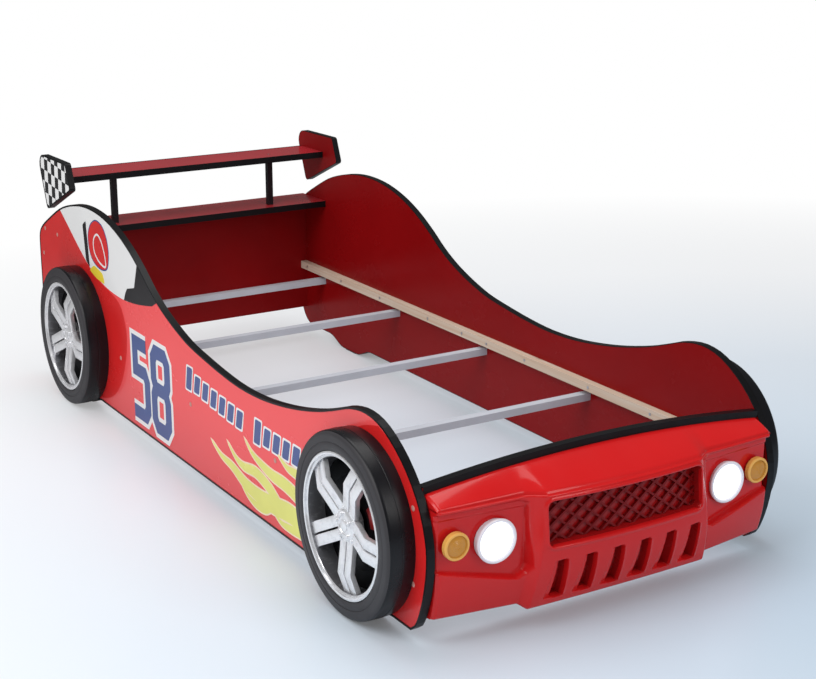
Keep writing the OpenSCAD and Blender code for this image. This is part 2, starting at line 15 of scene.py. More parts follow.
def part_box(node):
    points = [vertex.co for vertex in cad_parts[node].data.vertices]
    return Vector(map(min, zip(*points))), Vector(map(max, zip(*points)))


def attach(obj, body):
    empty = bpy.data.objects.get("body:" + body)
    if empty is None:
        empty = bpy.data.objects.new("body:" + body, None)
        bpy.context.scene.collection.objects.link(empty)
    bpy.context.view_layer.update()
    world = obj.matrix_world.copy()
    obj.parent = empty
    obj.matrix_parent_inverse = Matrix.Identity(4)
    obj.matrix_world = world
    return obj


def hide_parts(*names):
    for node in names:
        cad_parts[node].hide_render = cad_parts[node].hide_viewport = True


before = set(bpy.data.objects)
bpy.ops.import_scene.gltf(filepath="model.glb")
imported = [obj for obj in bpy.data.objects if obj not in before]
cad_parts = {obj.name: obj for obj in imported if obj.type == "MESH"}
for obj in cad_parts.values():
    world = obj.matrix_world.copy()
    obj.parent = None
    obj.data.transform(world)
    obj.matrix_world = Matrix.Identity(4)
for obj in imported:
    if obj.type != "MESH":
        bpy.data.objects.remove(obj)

LOG = logging.getLogger("racing_car_bed")
MM = 0.001
BODY = "bed"
Color = tuple[float, float, float]
Point = tuple[float, float]
Socket = bpy.types.NodeSocket
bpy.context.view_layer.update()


class Side(Enum):
    """The two long sides of the bed, with the sign of X on each."""

    RIGHT = -1
    LEFT = 1

    @property
    def tag(self) -> str:
        """The word that ends the names of pieces on this side."""
        return self.name.lower()


# ---------------------------------------------------------------- finishes


class Shade:
    """A small helper that wires the nodes of one material."""

    def __init__(self, name: str) -> None:
        """Makes an empty material with a Principled shader.

        Args:
            name: The material's name.
        """
        self.material = bpy.data.materials.new(name)
        self.material.use_nodes = True
        self.tree = self.material.node_tree
        self.tree.nodes.clear()
        self.output = self.tree.nodes.new("ShaderNodeOutputMaterial")
        self.shader = self.tree.nodes.new("ShaderNodeBsdfPrincipled")
        self.link(self.shader.outputs[0], self.output.inputs["Surface"])
        self.place = self.tree.nodes.new("ShaderNodeTexCoord").outputs["Object"]

    def link(self, source: Socket, target: Socket) -> None:
        """Joins two sockets."""
        self.tree.links.new(source, target)

    def put(self, socket: str, value: float | Sequence[float]) -> "Shade":
        """Sets a constant on the shader's own socket.

        Args:
            socket: The socket's name.
            value: A number, or a colour of three parts.

        Returns:
            The same helper, so that calls can follow each other.
        """
        if not isinstance(value, (int, float)):
            value = (*value, 1.0)
        self.shader.inputs[socket].default_value = value
        return self

    def node(self, kind: str, **settings: object) -> bpy.types.Node:
        """Adds a node.

        Args:
            kind: The node's type.
            settings: The properties that are set on it.

        Returns:
            The node.
        """
        made = self.tree.nodes.new(kind)
        for key, value in settings.items():
            setattr(made, key, value)
        return made

    def scaled(self, scale: Sequence[float], turn: Sequence[float] = (0, 0, 0)) -> Socket:
        """Gives the piece's own coordinates, scaled and turned.

        Args:
            scale: The factors along X, Y and Z.
            turn: The turn about X, Y and Z, in degrees.

        Returns:
            The vector socket.
        """
        mapping = self.node("ShaderNodeMapping")
        mapping.inputs["Scale"].default_value = scale
        mapping.inputs["Rotation"].default_value = [math.radians(a) for a in turn]
        self.link(self.place, mapping.inputs["Vector"])
        return mapping.outputs[0]

    def noise(self, scale: Sequence[float], detail: float = 4.0, rough: float = 0.55) -> Socket:
        """Gives a noise value on the piece's own coordinates.

        Args:
            scale: The noise's fineness along X, Y and Z.
            detail: The number of finer layers.
            rough: The weight of the finer layers.

        Returns:
            The value socket.
        """
        made = self.node("ShaderNodeTexNoise")
        made.inputs["Scale"].default_value = 1.0
        made.inputs["Detail"].default_value = detail
        made.inputs["Roughness"].default_value = rough
        self.link(self.scaled(scale), made.inputs["Vector"])
        return made.outputs["Fac"]

    def ramp(self, value: Socket, stops: Sequence[tuple[float, Color]]) -> Socket:
        """Turns a value into a colour through a ramp.

        Args:
            value: The socket to read.
            stops: Pairs of position and colour.

        Returns:
            The colour socket.
        """
        made = self.node("ShaderNodeValToRGB")
        elements = made.color_ramp.elements
        while len(elements) < len(stops):
            elements.new(0.5)
        for element, (position, color) in zip(elements, stops):
            element.position = position
            element.color = (*color, 1.0)
        self.link(value, made.inputs["Fac"])
        return made.outputs["Color"]

    def span(self, value: Socket, low: float, high: float, a: float, b: float) -> Socket:
        """Maps a value from one range to another, clamped.

        Args:
            value: The socket to read.
            low: The value that gives a.
            high: The value that gives b.
            a: The first result.
            b: The last result.

        Returns:
            The value socket.
        """
        made = self.node("ShaderNodeMapRange")
        for socket, number in zip(("From Min", "From Max", "To Min", "To Max"), (low, high, a, b)):
            made.inputs[socket].default_value = number
        self.link(value, made.inputs["Value"])
        return made.outputs["Result"]

    def math(self, operation: str, *values: Socket | float) -> Socket:
        """Works out one arithmetic step.

        Args:
            operation: The name of the step.
            values: Sockets or numbers.

        Returns:
            The value socket.
        """
        made = self.node("ShaderNodeMath", operation=operation)
        for slot, value in zip(made.inputs, values):
            if isinstance(value, (int, float)):
                slot.default_value = value
            else:
                self.link(value, slot)
        return made.outputs[0]

    def mix(self, factor: Socket, a: Socket | Color, b: Socket | Color) -> Socket:
        """Mixes two colours.

        Args:
            factor: The share of the second colour.
            a: The first colour.
            b: The second colour.

        Returns:
            The colour socket.
        """
        made = self.node("ShaderNodeMix", data_type="RGBA")
        self.link(factor, made.inputs[0])
        for slot, value in ((made.inputs[6], a), (made.inputs[7], b)):
            if isinstance(value, tuple):
                slot.default_value = (*value, 1.0)
            else:
                self.link(value, slot)
        return made.outputs[2]

    def axis(self, name: str) -> Socket:
        """Gives one of the piece's own coordinates, in metres."""
        made = self.node("ShaderNodeSeparateXYZ")
        self.link(self.place, made.inputs[0])
        return made.outputs[name]

    def paint(self, color: Socket) -> "Shade":
        """Feeds a colour to the shader."""
        self.link(color, self.shader.inputs["Base Color"])
        return self

    def roughen(self, value: Socket) -> "Shade":
        """Feeds a roughness to the shader."""
        self.link(value, self.shader.inputs["Roughness"])
        return self

    def bump(self, height: Socket, distance: float, strength: float = 1.0) -> "Shade":
        """Adds a bump to the shader.

        Args:
            height: The socket that gives the height.
            distance: The height of the bump, in metres.
            strength: The share of the bump that shows.

        Returns:
            The same helper.
        """
        made = self.node("ShaderNodeBump")
        made.inputs["Distance"].default_value = distance
        made.inputs["Strength"].default_value = strength
        self.link(height, made.inputs["Height"])
        self.link(made.outputs[0], self.shader.inputs["Normal"])
        return self


def tinted(color: Color, factor: float) -> Color:
    """Gives a colour made lighter or darker by a factor."""
    return tuple(min(1.0, part * factor) for part in color)


@dataclass(frozen=True)
class Gloss:
    """A glossy or satin surface with faint mottling, smears and a moulded or foiled skin."""

    name: str
    slot: str
    color: Color
    rough: float = 0.3
    coat: float = 0.0
    metallic: float = 0.0
    mottle: float = 0.08
    grain: float = 260.0
    grain_depth: float = 0.00002
    shine: float = 0.25

    def shade(self) -> Shade:
        """Builds the nodes of the finish.

        Returns:
            The helper that holds the material.
        """
        shade = Shade(self.name)
        cloud = shade.noise((5.0, 5.0, 5.0), detail=3.0)
        low, high = tinted(self.color, 1 - self.mottle), tinted(self.color, 1 + self.mottle)
        shade.paint(shade.ramp(cloud, ((0.3, low), (0.7, high))))
        smear = shade.noise((14.0, 6.0, 9.0), detail=6.0)
        shade.roughen(shade.span(smear, 0.3, 0.75, self.rough * 0.85, self.rough * 1.3))
        shade.bump(shade.noise((self.grain,) * 3, detail=2.0), self.grain_depth, 0.6)
        shade.put("Metallic", self.metallic).put("Specular IOR Level", self.shine)
        if self.coat:
            shade.put("Coat Weight", self.coat).put("Coat Roughness", 0.06)
        return shade

    def material(self) -> bpy.types.Material:
        """Gives the finished material."""
        return self.shade().material


@dataclass(frozen=True)
class PrintedBoard(Gloss):
    """A side panel: printed foil outside, plain deep red foil inside, its red darkened further as painted
    shade of the bed's inside.
    """

    inner_color: Color = (0.25, 0.0035, 0.0045)
    face_x: float = 0.479

    def material(self) -> bpy.types.Material:
        """Gives the finished material.

        Returns:
            The material, which turns from the outer to the inner colour at the board's face.
        """
        shade = self.shade()
        outside = shade.math("GREATER_THAN", shade.math("ABSOLUTE", shade.axis("X")), self.face_x)
        height = shade.span(shade.axis("Z"), 0.03, 0.42, 0.0, 1.0)
        print_color = shade.ramp(
            height,
            (
                (0.0, tinted(self.color, 0.86)),
                (0.45, self.color),
                (1.0, tinted(self.color, 1.02)),
            ),
        )
        cloud = shade.noise((4.0, 4.0, 4.0), detail=3.0)
        # The inside's deep red is partly the foil's own colour and partly painted shade.
        inside = shade.ramp(cloud, ((0.3, tinted(self.inner_color, 0.9)), (0.7, self.inner_color)))
        shade.paint(shade.mix(outside, inside, print_color))
        coat = shade.math("MULTIPLY", outside, self.coat)
        shade.link(coat, shade.shader.inputs["Coat Weight"])
        shine = shade.span(outside, 0.0, 1.0, 0.10, self.shine)
        shade.link(shine, shade.shader.inputs["Specular IOR Level"])
        return shade.material


@dataclass(frozen=True)
class Chequer(Gloss):
    """A black and white chequer, laid along the slant of the wing's end plates."""

    other: Color = (0.86, 0.86, 0.86)
    square: float = 0.031
    lean: float = -4.0

    def material(self) -> bpy.types.Material:
        """Gives the finished material."""
        shade = self.shade()
        made = shade.node("ShaderNodeTexChecker")
        made.inputs["Scale"].default_value = 1.0
        made.inputs["Color1"].default_value = (*self.color, 1.0)
        made.inputs["Color2"].default_value = (*self.other, 1.0)
        step = 1.0 / self.square
        flat = shade.scaled((0.0, step, step * 0.86), (self.lean, 0.0, 0.0))
        shade.link(flat, made.inputs["Vector"])
        shade.paint(made.outputs["Color"])
        return shade.material


@dataclass(frozen=True)
class Pine(Gloss):
    """Planed pine with growth lines along the length and a few knots."""

    dark: Color = (0.46, 0.33, 0.23)

    def material(self) -> bpy.types.Material:
        """Gives the finished material."""
        shade = self.shade()
        lines = shade.noise((150.0, 2.2, 150.0), detail=5.0, rough=0.6)
        knots = shade.noise((26.0, 7.0, 26.0), detail=1.0)
        grain = shade.ramp(lines, ((0.35, self.color), (0.70, tinted(self.dark, 1.25))))
        knot = shade.span(knots, 0.70, 0.76, 0.0, 0.75)
        shade.paint(shade.mix(knot, grain, self.dark))
        shade.bump(lines, 0.0003, 0.35)
        return shade.material


@dataclass(frozen=True)
class Glow(Gloss):
    """A lit lens: a frosted diffuser that shines."""

    strength: float = 1.6

    def material(self) -> bpy.types.Material:
        """Gives the finished material."""
        shade = self.shade()
        shade.put("Emission Color", self.color).put("Emission Strength", self.strength)
        return shade.material


@dataclass(frozen=True)
class Brushed(Gloss):
    """Bright metal foil with fine lines and a few darker streaks."""

    streak: Color = (0.62, 0.62, 0.65)

    def material(self) -> bpy.types.Material:
        """Gives the finished material."""
        shade = self.shade()
        lines = shade.noise((40.0, 90.0, 90.0), detail=4.0, rough=0.7)
        shade.paint(shade.ramp(lines, ((0.20, self.streak), (0.50, self.color))))
        return shade.material


CORAL = PrintedBoard("printed_foil_coral", "printed_board", (0.84, 0.072, 0.076), 0.24, coat=0.25)
RIM_RED = Gloss("printed_foil_bright_red", "printed_board", (0.64, 0.016, 0.016), 0.24, coat=0.3)
WHITE_PRINT = Gloss(
    "printed_foil_white", "printed_board", (0.80, 0.80, 0.80), 0.22, coat=0.5, mottle=0.02)
BLACK_PRINT = Gloss("printed_foil_black", "printed_board", (0.010, 0.008, 0.010), 0.24, coat=0.2)
BLUE_PRINT = Gloss("printed_foil_blue", "printed_board", (0.030, 0.065, 0.24), 0.22, coat=0.5)
YELLOW_PRINT = Gloss("printed_foil_yellow", "printed_board", (0.80, 0.62, 0.05), 0.22, coat=0.5)
FLAME_PRINT = Gloss("printed_foil_flame", "printed_board", (0.74, 0.73, 0.17), 0.24, coat=0.3)
FLAME_EDGE = Gloss("printed_foil_flame_edge", "printed_board", (0.86, 0.70, 0.50), 0.22, coat=0.5)
# A deep red for the boards inside the bed: partly the plain foil's own colour, partly painted shade.
RED_BOARD_AND_PAINTED_SHADE = Gloss("red_foil", "red_board", (0.22, 0.0035, 0.0045), 0.38, shine=0.10)
# A lighter red than the other red boards, which paints in the reflection on the shelf and the wing board;
# the coat is their real gloss.
TOP_BOARD_PAINTED_REFLECTION = Gloss("red_foil_gloss", "red_board", (0.36, 0.018, 0.026), 0.28, coat=0.3)
EDGING = Gloss("black_edging", "black_edging", (0.005, 0.005, 0.006), 0.34, grain=700.0, shine=0.2)
MOULDED_RED = Gloss(
    "moulded_red", "red_moulding", (0.53, 0.0085, 0.0095), 0.20, coat=0.35, mottle=0.03, shine=0.2)
# A darker copy of the moulded red, which paints in the shade in the grille pocket and the louvres.
MOULDED_RED_PAINTED_SHADE = Gloss("moulded_red_shaded", "grille_red", (0.30, 0.005, 0.006), 0.26, coat=0.2)
LATTICE = Gloss("grille_lattice_red", "grille_red", (0.16, 0.003, 0.004), 0.28, coat=0.1, shine=0.15)
# A dark grey for the tyre's face, lighter than the black tread, which paints in the sheen on the black
# moulding.
SIDEWALL_PAINTED_SHEEN = Gloss(
    "tyre_sidewall", "tyre_moulding", (0.045, 0.043, 0.047), 0.46, grain=500.0,
    grain_depth=0.00006)
TREAD = Gloss("tyre_tread", "tyre_moulding", (0.006, 0.006, 0.008), 0.30, grain=300.0, shine=0.3)
DISH = Gloss("wheel_dish", "tyre_moulding", (0.004, 0.004, 0.005), 0.45, shine=0.10)
BRIGHT = Brushed(
    "bright_foil", "bright_rim", (0.90, 0.90, 0.92), 0.20, metallic=0.55, mottle=0.04, shine=0.6)
# A darker copy of the bright foil, which paints in the shade on the barrel inside the rim.
BRIGHT_FOIL_PAINTED_SHADE = Brushed("bright_foil_shaded", "bright_rim", (0.30, 0.30, 0.32), 0.30, metallic=0.8)
CALIPER = Gloss("caliper_red", "bright_rim", (0.22, 0.010, 0.010), 0.3, coat=0.2)
RING = Gloss("lamp_ring_pale", "lamp_ring", (0.76, 0.73, 0.79), 0.18, coat=0.4, mottle=0.02)
LENS = Glow("lamp_lens_lit", "lamp_lens", (0.92, 0.96, 1.0), 0.18, mottle=0.01, strength=0.75)
AMBER = Gloss("amber_lens", "amber_lens", (0.50, 0.22, 0.030), 0.18, coat=0.5, mottle=0.12)
AMBER_RING = Gloss("amber_rim", "amber_lens", (0.72, 0.38, 0.09), 0.22, coat=0.3)
PINE = Pine("planed_pine", "pine", (0.66, 0.56, 0.46), 0.55, grain=900.0)
BAR_PAINT = Gloss("painted_bar", "painted_bar", (0.47, 0.49, 0.54), 0.40, coat=0.05, grain=900.0)
POST = Gloss("black_post", "black_post", (0.010, 0.010, 0.012), 0.32, coat=0.1)
CAP = Gloss("screw_cap", "screw_cap", (0.62, 0.30, 0.26), 0.3, metallic=0.3)
STEEL = Gloss("zinc_screw", "steel", (0.55, 0.55, 0.58), 0.3, metallic=1.0)
GREY = Gloss("grey_plastic", "grey_plastic", (0.05, 0.05, 0.055), 0.5)
BOARD_GREEN = Gloss("circuit_lacquer", "circuit_board", (0.02, 0.18, 0.07), 0.3)
BATTERY = Gloss("battery_sleeve", "battery", (0.55, 0.36, 0.06), 0.35, metallic=0.4)
GLIDE = Gloss("glide_felt", "glide", (0.02, 0.02, 0.02), 0.8)
CHEQUER = Chequer("chequer_print", "printed_board", (0.012, 0.012, 0.014), 0.24, coat=0.4)

_made: dict[str, bpy.types.Material] = {}


def material_of(finish: Gloss) -> bpy.types.Material:
    """Gives the material of a finish, made once."""
    if finish.name not in _made:
        _made[finish.name] = finish.material()
    return _made[finish.name]


# ---------------------------------------------------------------- mesh helpers


def sharpen(bm: bmesh.types.BMesh, angle: float) -> None:
    """Shades a mesh smooth, and marks the edges sharp that turn by more than an angle in degrees."""
    limit = math.radians(angle)
    for face in bm.faces:
        face.smooth = True
    for edge in bm.edges:
        edge.smooth = edge.calc_face_angle(0.0) < limit


def finish_piece(
    name: str,
    bm: bmesh.types.BMesh,
    finishes: Sequence[Gloss],
    *,
    body: str = BODY,
    stands_for: Sequence[str] = (),
    angle: float = 35.0,
    weld: bool = True,
) -> bpy.types.Object:
    """Turns a bmesh into a finished piece.

    Args:
        name: The piece's name.
        bm: The mesh, which is freed.
        finishes: The finishes, in the order of the faces' material numbers.
        body: The body that the piece rides on.
        stands_for: The frame's nodes that the piece replaces.
        angle: The least turn of a sharp edge, in degrees.
        weld: Whether points that meet are joined.

    Returns:
        The object.
    """
    if weld:
        bmesh.ops.remove_doubles(bm, verts=bm.verts, dist=1e-6)
    bmesh.ops.recalc_face_normals(bm, faces=bm.faces)
    sharpen(bm, angle)
    mesh = bpy.data.meshes.new(name)
    bm.to_mesh(mesh)
    bm.free()
    for finish in finishes:
        mesh.materials.append(material_of(finish))
    piece = bpy.data.objects.new(name, mesh)
    bpy.context.scene.collection.objects.link(piece)
    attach(piece, body)
    if stands_for:
        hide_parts(*stands_for)
    LOG.info("piece %s: %d faces", name, len(mesh.polygons))
    return piece


def dress(node: str, finish: Gloss) -> None:
    """Gives a finish to one of the frame's own nodes.

    Args:
        node: The node's name.
        finish: The finish of all its slots.
    """
    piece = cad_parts[node]
    material = material_of(finish)
    if not piece.material_slots:
        piece.data.materials.append(material)
    for slot in piece.material_slots:
        slot.material = material


def smooth_curve(points: Sequence[Point], steps: int = 6) -> list[Point]:
    """Runs a smooth curve through points.

    Args:
        points: The points, of which the first and last are the ends.
        steps: The number of steps between two points.

    Returns:
        The points of the curve.
    """
    p = [np.array(q, float) for q in points]
    made = []
    for i in range(len(p) - 1):
        a, b, c, d = p[max(i - 1, 0)], p[i], p[i + 1], p[min(i + 2, len(p) - 1)]
        for k in range(steps):
            t = k / steps
            q = 2 * b + (c - a) * t + (2 * a - 5 * b + 4 * c - d) * t**2
            q = 0.5 * (q + (3 * b - a - 3 * c + d) * t**3)
            made.append((float(q[0]), float(q[1])))
    made.append(tuple(points[-1]))
    return made


def rounded(points: Sequence[Point], radius: float, steps: int = 5) -> list[Point]:
    """Rounds every corner of a closed outline.

    Args:
        points: The corners.
        radius: The largest distance from a corner at which its curve starts.
        steps: The number of steps in each curve.

    Returns:
        The outline with curved corners.
    """
    made = []
    count = len(points)
    for i, corner in enumerate(points):
        p = Vector(corner)
        a, b = Vector(points[i - 1]) - p, Vector(points[(i + 1) % count]) - p
        start = p + a * min(radius / a.length, 0.45)
        end = p + b * min(radius / b.length, 0.45)
        for k in range(steps + 1):
            t = k / steps
            q = start * (1 - t) ** 2 + p * (2 * t * (1 - t)) + end * t**2
            made.append((q.x, q.y))
    return made


def lay(side: Side, depth: float, point: Point) -> Vector:
    """Places a flat point on one side of the bed.

    Args:
        side: The side of the bed.
        depth: The distance along X from the middle.
        point: The flat point: Y and Z.

    Returns:
        The place.
    """
    return Vector((side.value * depth, point[0], point[1]))


def thicken(
    bm: bmesh.types.BMesh, faces: Sequence[bmesh.types.BMFace], side: Side, height: float
) -> None:
    """Pulls a copy of flat faces outwards, so that they become a closed plate.

    Args:
        bm: The mesh.
        faces: The faces.
        side: The side of the bed.
        height: The thickness of the plate.
    """
    made = bmesh.ops.extrude_face_region(bm, geom=faces, use_keep_orig=True)["geom"]
    moved = [v for v in made if isinstance(v, bmesh.types.BMVert)]
    bmesh.ops.translate(bm, verts=moved, vec=(side.value * height, 0, 0))


def plate(
    bm: bmesh.types.BMesh, outline: Sequence[Point], side: Side, base: float, height: float
) -> None:
    """Adds a thin plate with the given outline to a mesh.

    Args:
        bm: The mesh.
        outline: The flat outline, in metres.
        side: The side of the bed.
        base: The depth of the plate's back.
        height: The thickness of the plate, outwards.
    """
    verts = [bm.verts.new(lay(side, base, q)) for q in outline]
    thicken(bm, [bm.faces.new(verts)], side, height)


def mitred(path: Sequence[Point], width: float, closed: bool) -> list[tuple[Point, Point]]:
    """Gives the two edges of a stroke along a path, with mitred corners.

    Args:
        path: The points of the stroke's middle line.
        width: The width of the stroke.
        closed: Whether the path ends where it starts.

    Returns:
        A pair of edge points for each point of the path.
    """
    pts = [Vector(q) for q in path]
    count = len(pts)
    edge = []
    for i, p in enumerate(pts):
        before = pts[i - 1] if closed or i else None
        after = pts[(i + 1) % count] if closed or i < count - 1 else None
        u = (p - before).normalized() if before is not None else (after - p).normalized()
        v = (after - p).normalized() if after is not None else u
        normal = Vector((-(u + v).y, (u + v).x)).normalized()
        reach = width / 2 / max(0.3, normal.dot(Vector((-u.y, u.x))))
        edge.append((tuple(p + normal * reach), tuple(p - normal * reach)))
    return edge


def band(
    bm: bmesh.types.BMesh,
    path: Sequence[Point],
    width: float,
    side: Side,
    base: float,
    height: float,
    *,
    closed: bool = False,
) -> None:
    """Adds a thin stroke along a path to a mesh.

    Args:
        bm: The mesh.
        path: The points of the stroke's middle line.
        width: The width of the stroke.
        side: The side of the bed.
        base: The depth of the stroke's back.
        height: The thickness of the stroke, outwards.
        closed: Whether the path ends where it starts.
    """
    rows = [
        [bm.verts.new(lay(side, base, q)) for q in pair]
        for pair in mitred(path, width, closed)
    ]
    following = rows[1:] + rows[:1] if closed else rows[1:]
    faces = [bm.faces.new((a[0], b[0], b[1], a[1])) for a, b in zip(rows, following)]
    thicken(bm, faces, side, height)


def tongue(path: Sequence[Point], width: float, grow: float = 0.0) -> list[Point]:
    """Gives the outline of a flame that narrows to a point.

    Args:
        path: The points of its middle line, from the root to the tip.
        width: Its width at the root.
        grow: How far the outline is moved outwards.

    Returns:
        The outline.
    """
    line = [Vector(q) for q in smooth_curve(path, 6)]
    count = len(line)
    left, right = [], []
    for i, p in enumerate(line):
        along = (line[min(i + 1, count - 1)] - line[max(i - 1, 0)]).normalized()
        normal = Vector((-along.y, along.x))
        t = i / (count - 1)
        half = width / 2 * (1 - t) ** 0.75 * (1 + 0.35 * math.sin(math.pi * t)) + grow
        if i == count - 1:
            left.append(tuple(p + along * grow * 2.5))
            break
        left.append(tuple(p + normal * half))
        right.append(tuple(p - normal * half))
    return left + right[::-1]


def lathe(
    bm: bmesh.types.BMesh,
    profile: Sequence[Point],
    centre: Vector,
    axis: Vector,
    numbers: Sequence[int] = (),
    steps: int = 96,
) -> None:
    """Spins a profile of radius and depth about an axis.

    Args:
        bm: The mesh that the body is added to.
        profile: Pairs of radius and depth, in metres.
        centre: The point of the axis at depth 0.
        axis: The axis, towards growing depth.
        numbers: The material number of each stretch of the profile.
        steps: The number of steps round the axis.
    """
    across = axis.orthogonal().normalized()
    verts = [bm.verts.new(centre + across * r + axis * h) for r, h in profile]
    for face in bm.faces:
        face.tag = True
    for i, pair in enumerate(zip(verts, verts[1:])):
        edge = bm.edges.new(pair)
        bmesh.ops.spin(
            bm, geom=[edge], cent=centre, axis=axis, angle=math.tau, steps=steps, use_merge=True,
            use_duplicate=False)
        for face in bm.faces:
            if not face.tag:
                face.material_index = numbers[i] if numbers else 0
                face.tag = True


# ---------------------------------------------------------------- side panels


def nearest(loop: Sequence[Point], spot: Point) -> int:
    """Gives the number of the loop's point that lies nearest to a spot."""
    return min(range(len(loop)), key=lambda i: (Vector(loop[i]) - Vector(spot)).length)


class BoardOutline:
    """The outline of a board's outer face, read from the frame."""

    def __init__(self, node: str) -> None:
        """Reads the outer face's rim.

        Args:
            node: The board's node.
        """
        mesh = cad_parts[node].data
        low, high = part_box(node)
        self.face_x = max(abs(low.x), abs(high.x))
        uses: dict[tuple, int] = {}
        for polygon in mesh.polygons:
            keys = []
            for index in polygon.vertices:
                co = mesh.vertices[index].co
                if abs(abs(co.x) - self.face_x) > 1e-5:
                    break
                keys.append((round(co.y * 1e5), round(co.z * 1e5)))
            if len(keys) == len(polygon.vertices):
                for pair in zip(keys, keys[1:] + keys[:1]):
                    edge = tuple(sorted(pair))
                    uses[edge] = uses.get(edge, 0) + 1
        self.loop = self._longest_loop([edge for edge, count in uses.items() if count == 1])

    @staticmethod
    def _longest_loop(edges: Iterable[tuple]) -> list[Point]:
        """Chains the rim's edges and gives the longest closed chain.

        Args:
            edges: The edges, each as a pair of keys.

        Returns:
            The points of the chain, in metres and anticlockwise.
        """
        beside: dict[tuple, list[tuple]] = {}
        for a, b in edges:
            beside.setdefault(a, []).append(b)
            beside.setdefault(b, []).append(a)
        best: list[tuple] = []
        while beside:
            here = next(iter(beside))
            chain = []
            while here is not None:
                chain.append(here)
                following = [n for n in beside.pop(here) if n in beside]
                here = following[0] if following else None
            best = max(best, chain, key=len)
        points = [(a * 1e-5, b * 1e-5) for a, b in best]
        area = sum(p[0] * q[1] - q[0] * p[1] for p, q in zip(points, points[1:] + points[:1]))
        return points if area > 0 else points[::-1]

    def inset(self, distance: float) -> list[Point]:
        """Gives the outline, moved inwards.

        Args:
            distance: How far it is moved, in metres.

        Returns:
            The points of the moved outline.
        """
        made = []
        count = len(self.loop)
        for i in range(count):
            along = Vector(self.loop[(i + 1) % count]) - Vector(self.loop[i - 1])
            along.normalize()
            point = Vector(self.loop[i]) - Vector((along.y, -along.x)) * distance
            made.append((point.x, point.y))
        return made

    def stretch(self, start: Point, end: Point, distance: float) -> list[Point]:
        """Gives the part of the outline between two points, over the top towards the front.

        Args:
            start: A point near the start.
            end: A point near the end.
            distance: How far inwards the outline is moved.

        Returns:
            The points, from the rear to the front.
        """
        loop = self.inset(distance)
        first, last = nearest(loop, start), nearest(loop, end)
        if last < first:
            last += len(loop)
        return [loop[i % len(loop)] for i in range(first, last + 1)]


def mm(points: Iterable[Point]) -> list[Point]:
    """Turns points in millimetres into metres."""
    return [(a * MM, b * MM) for a, b in points]


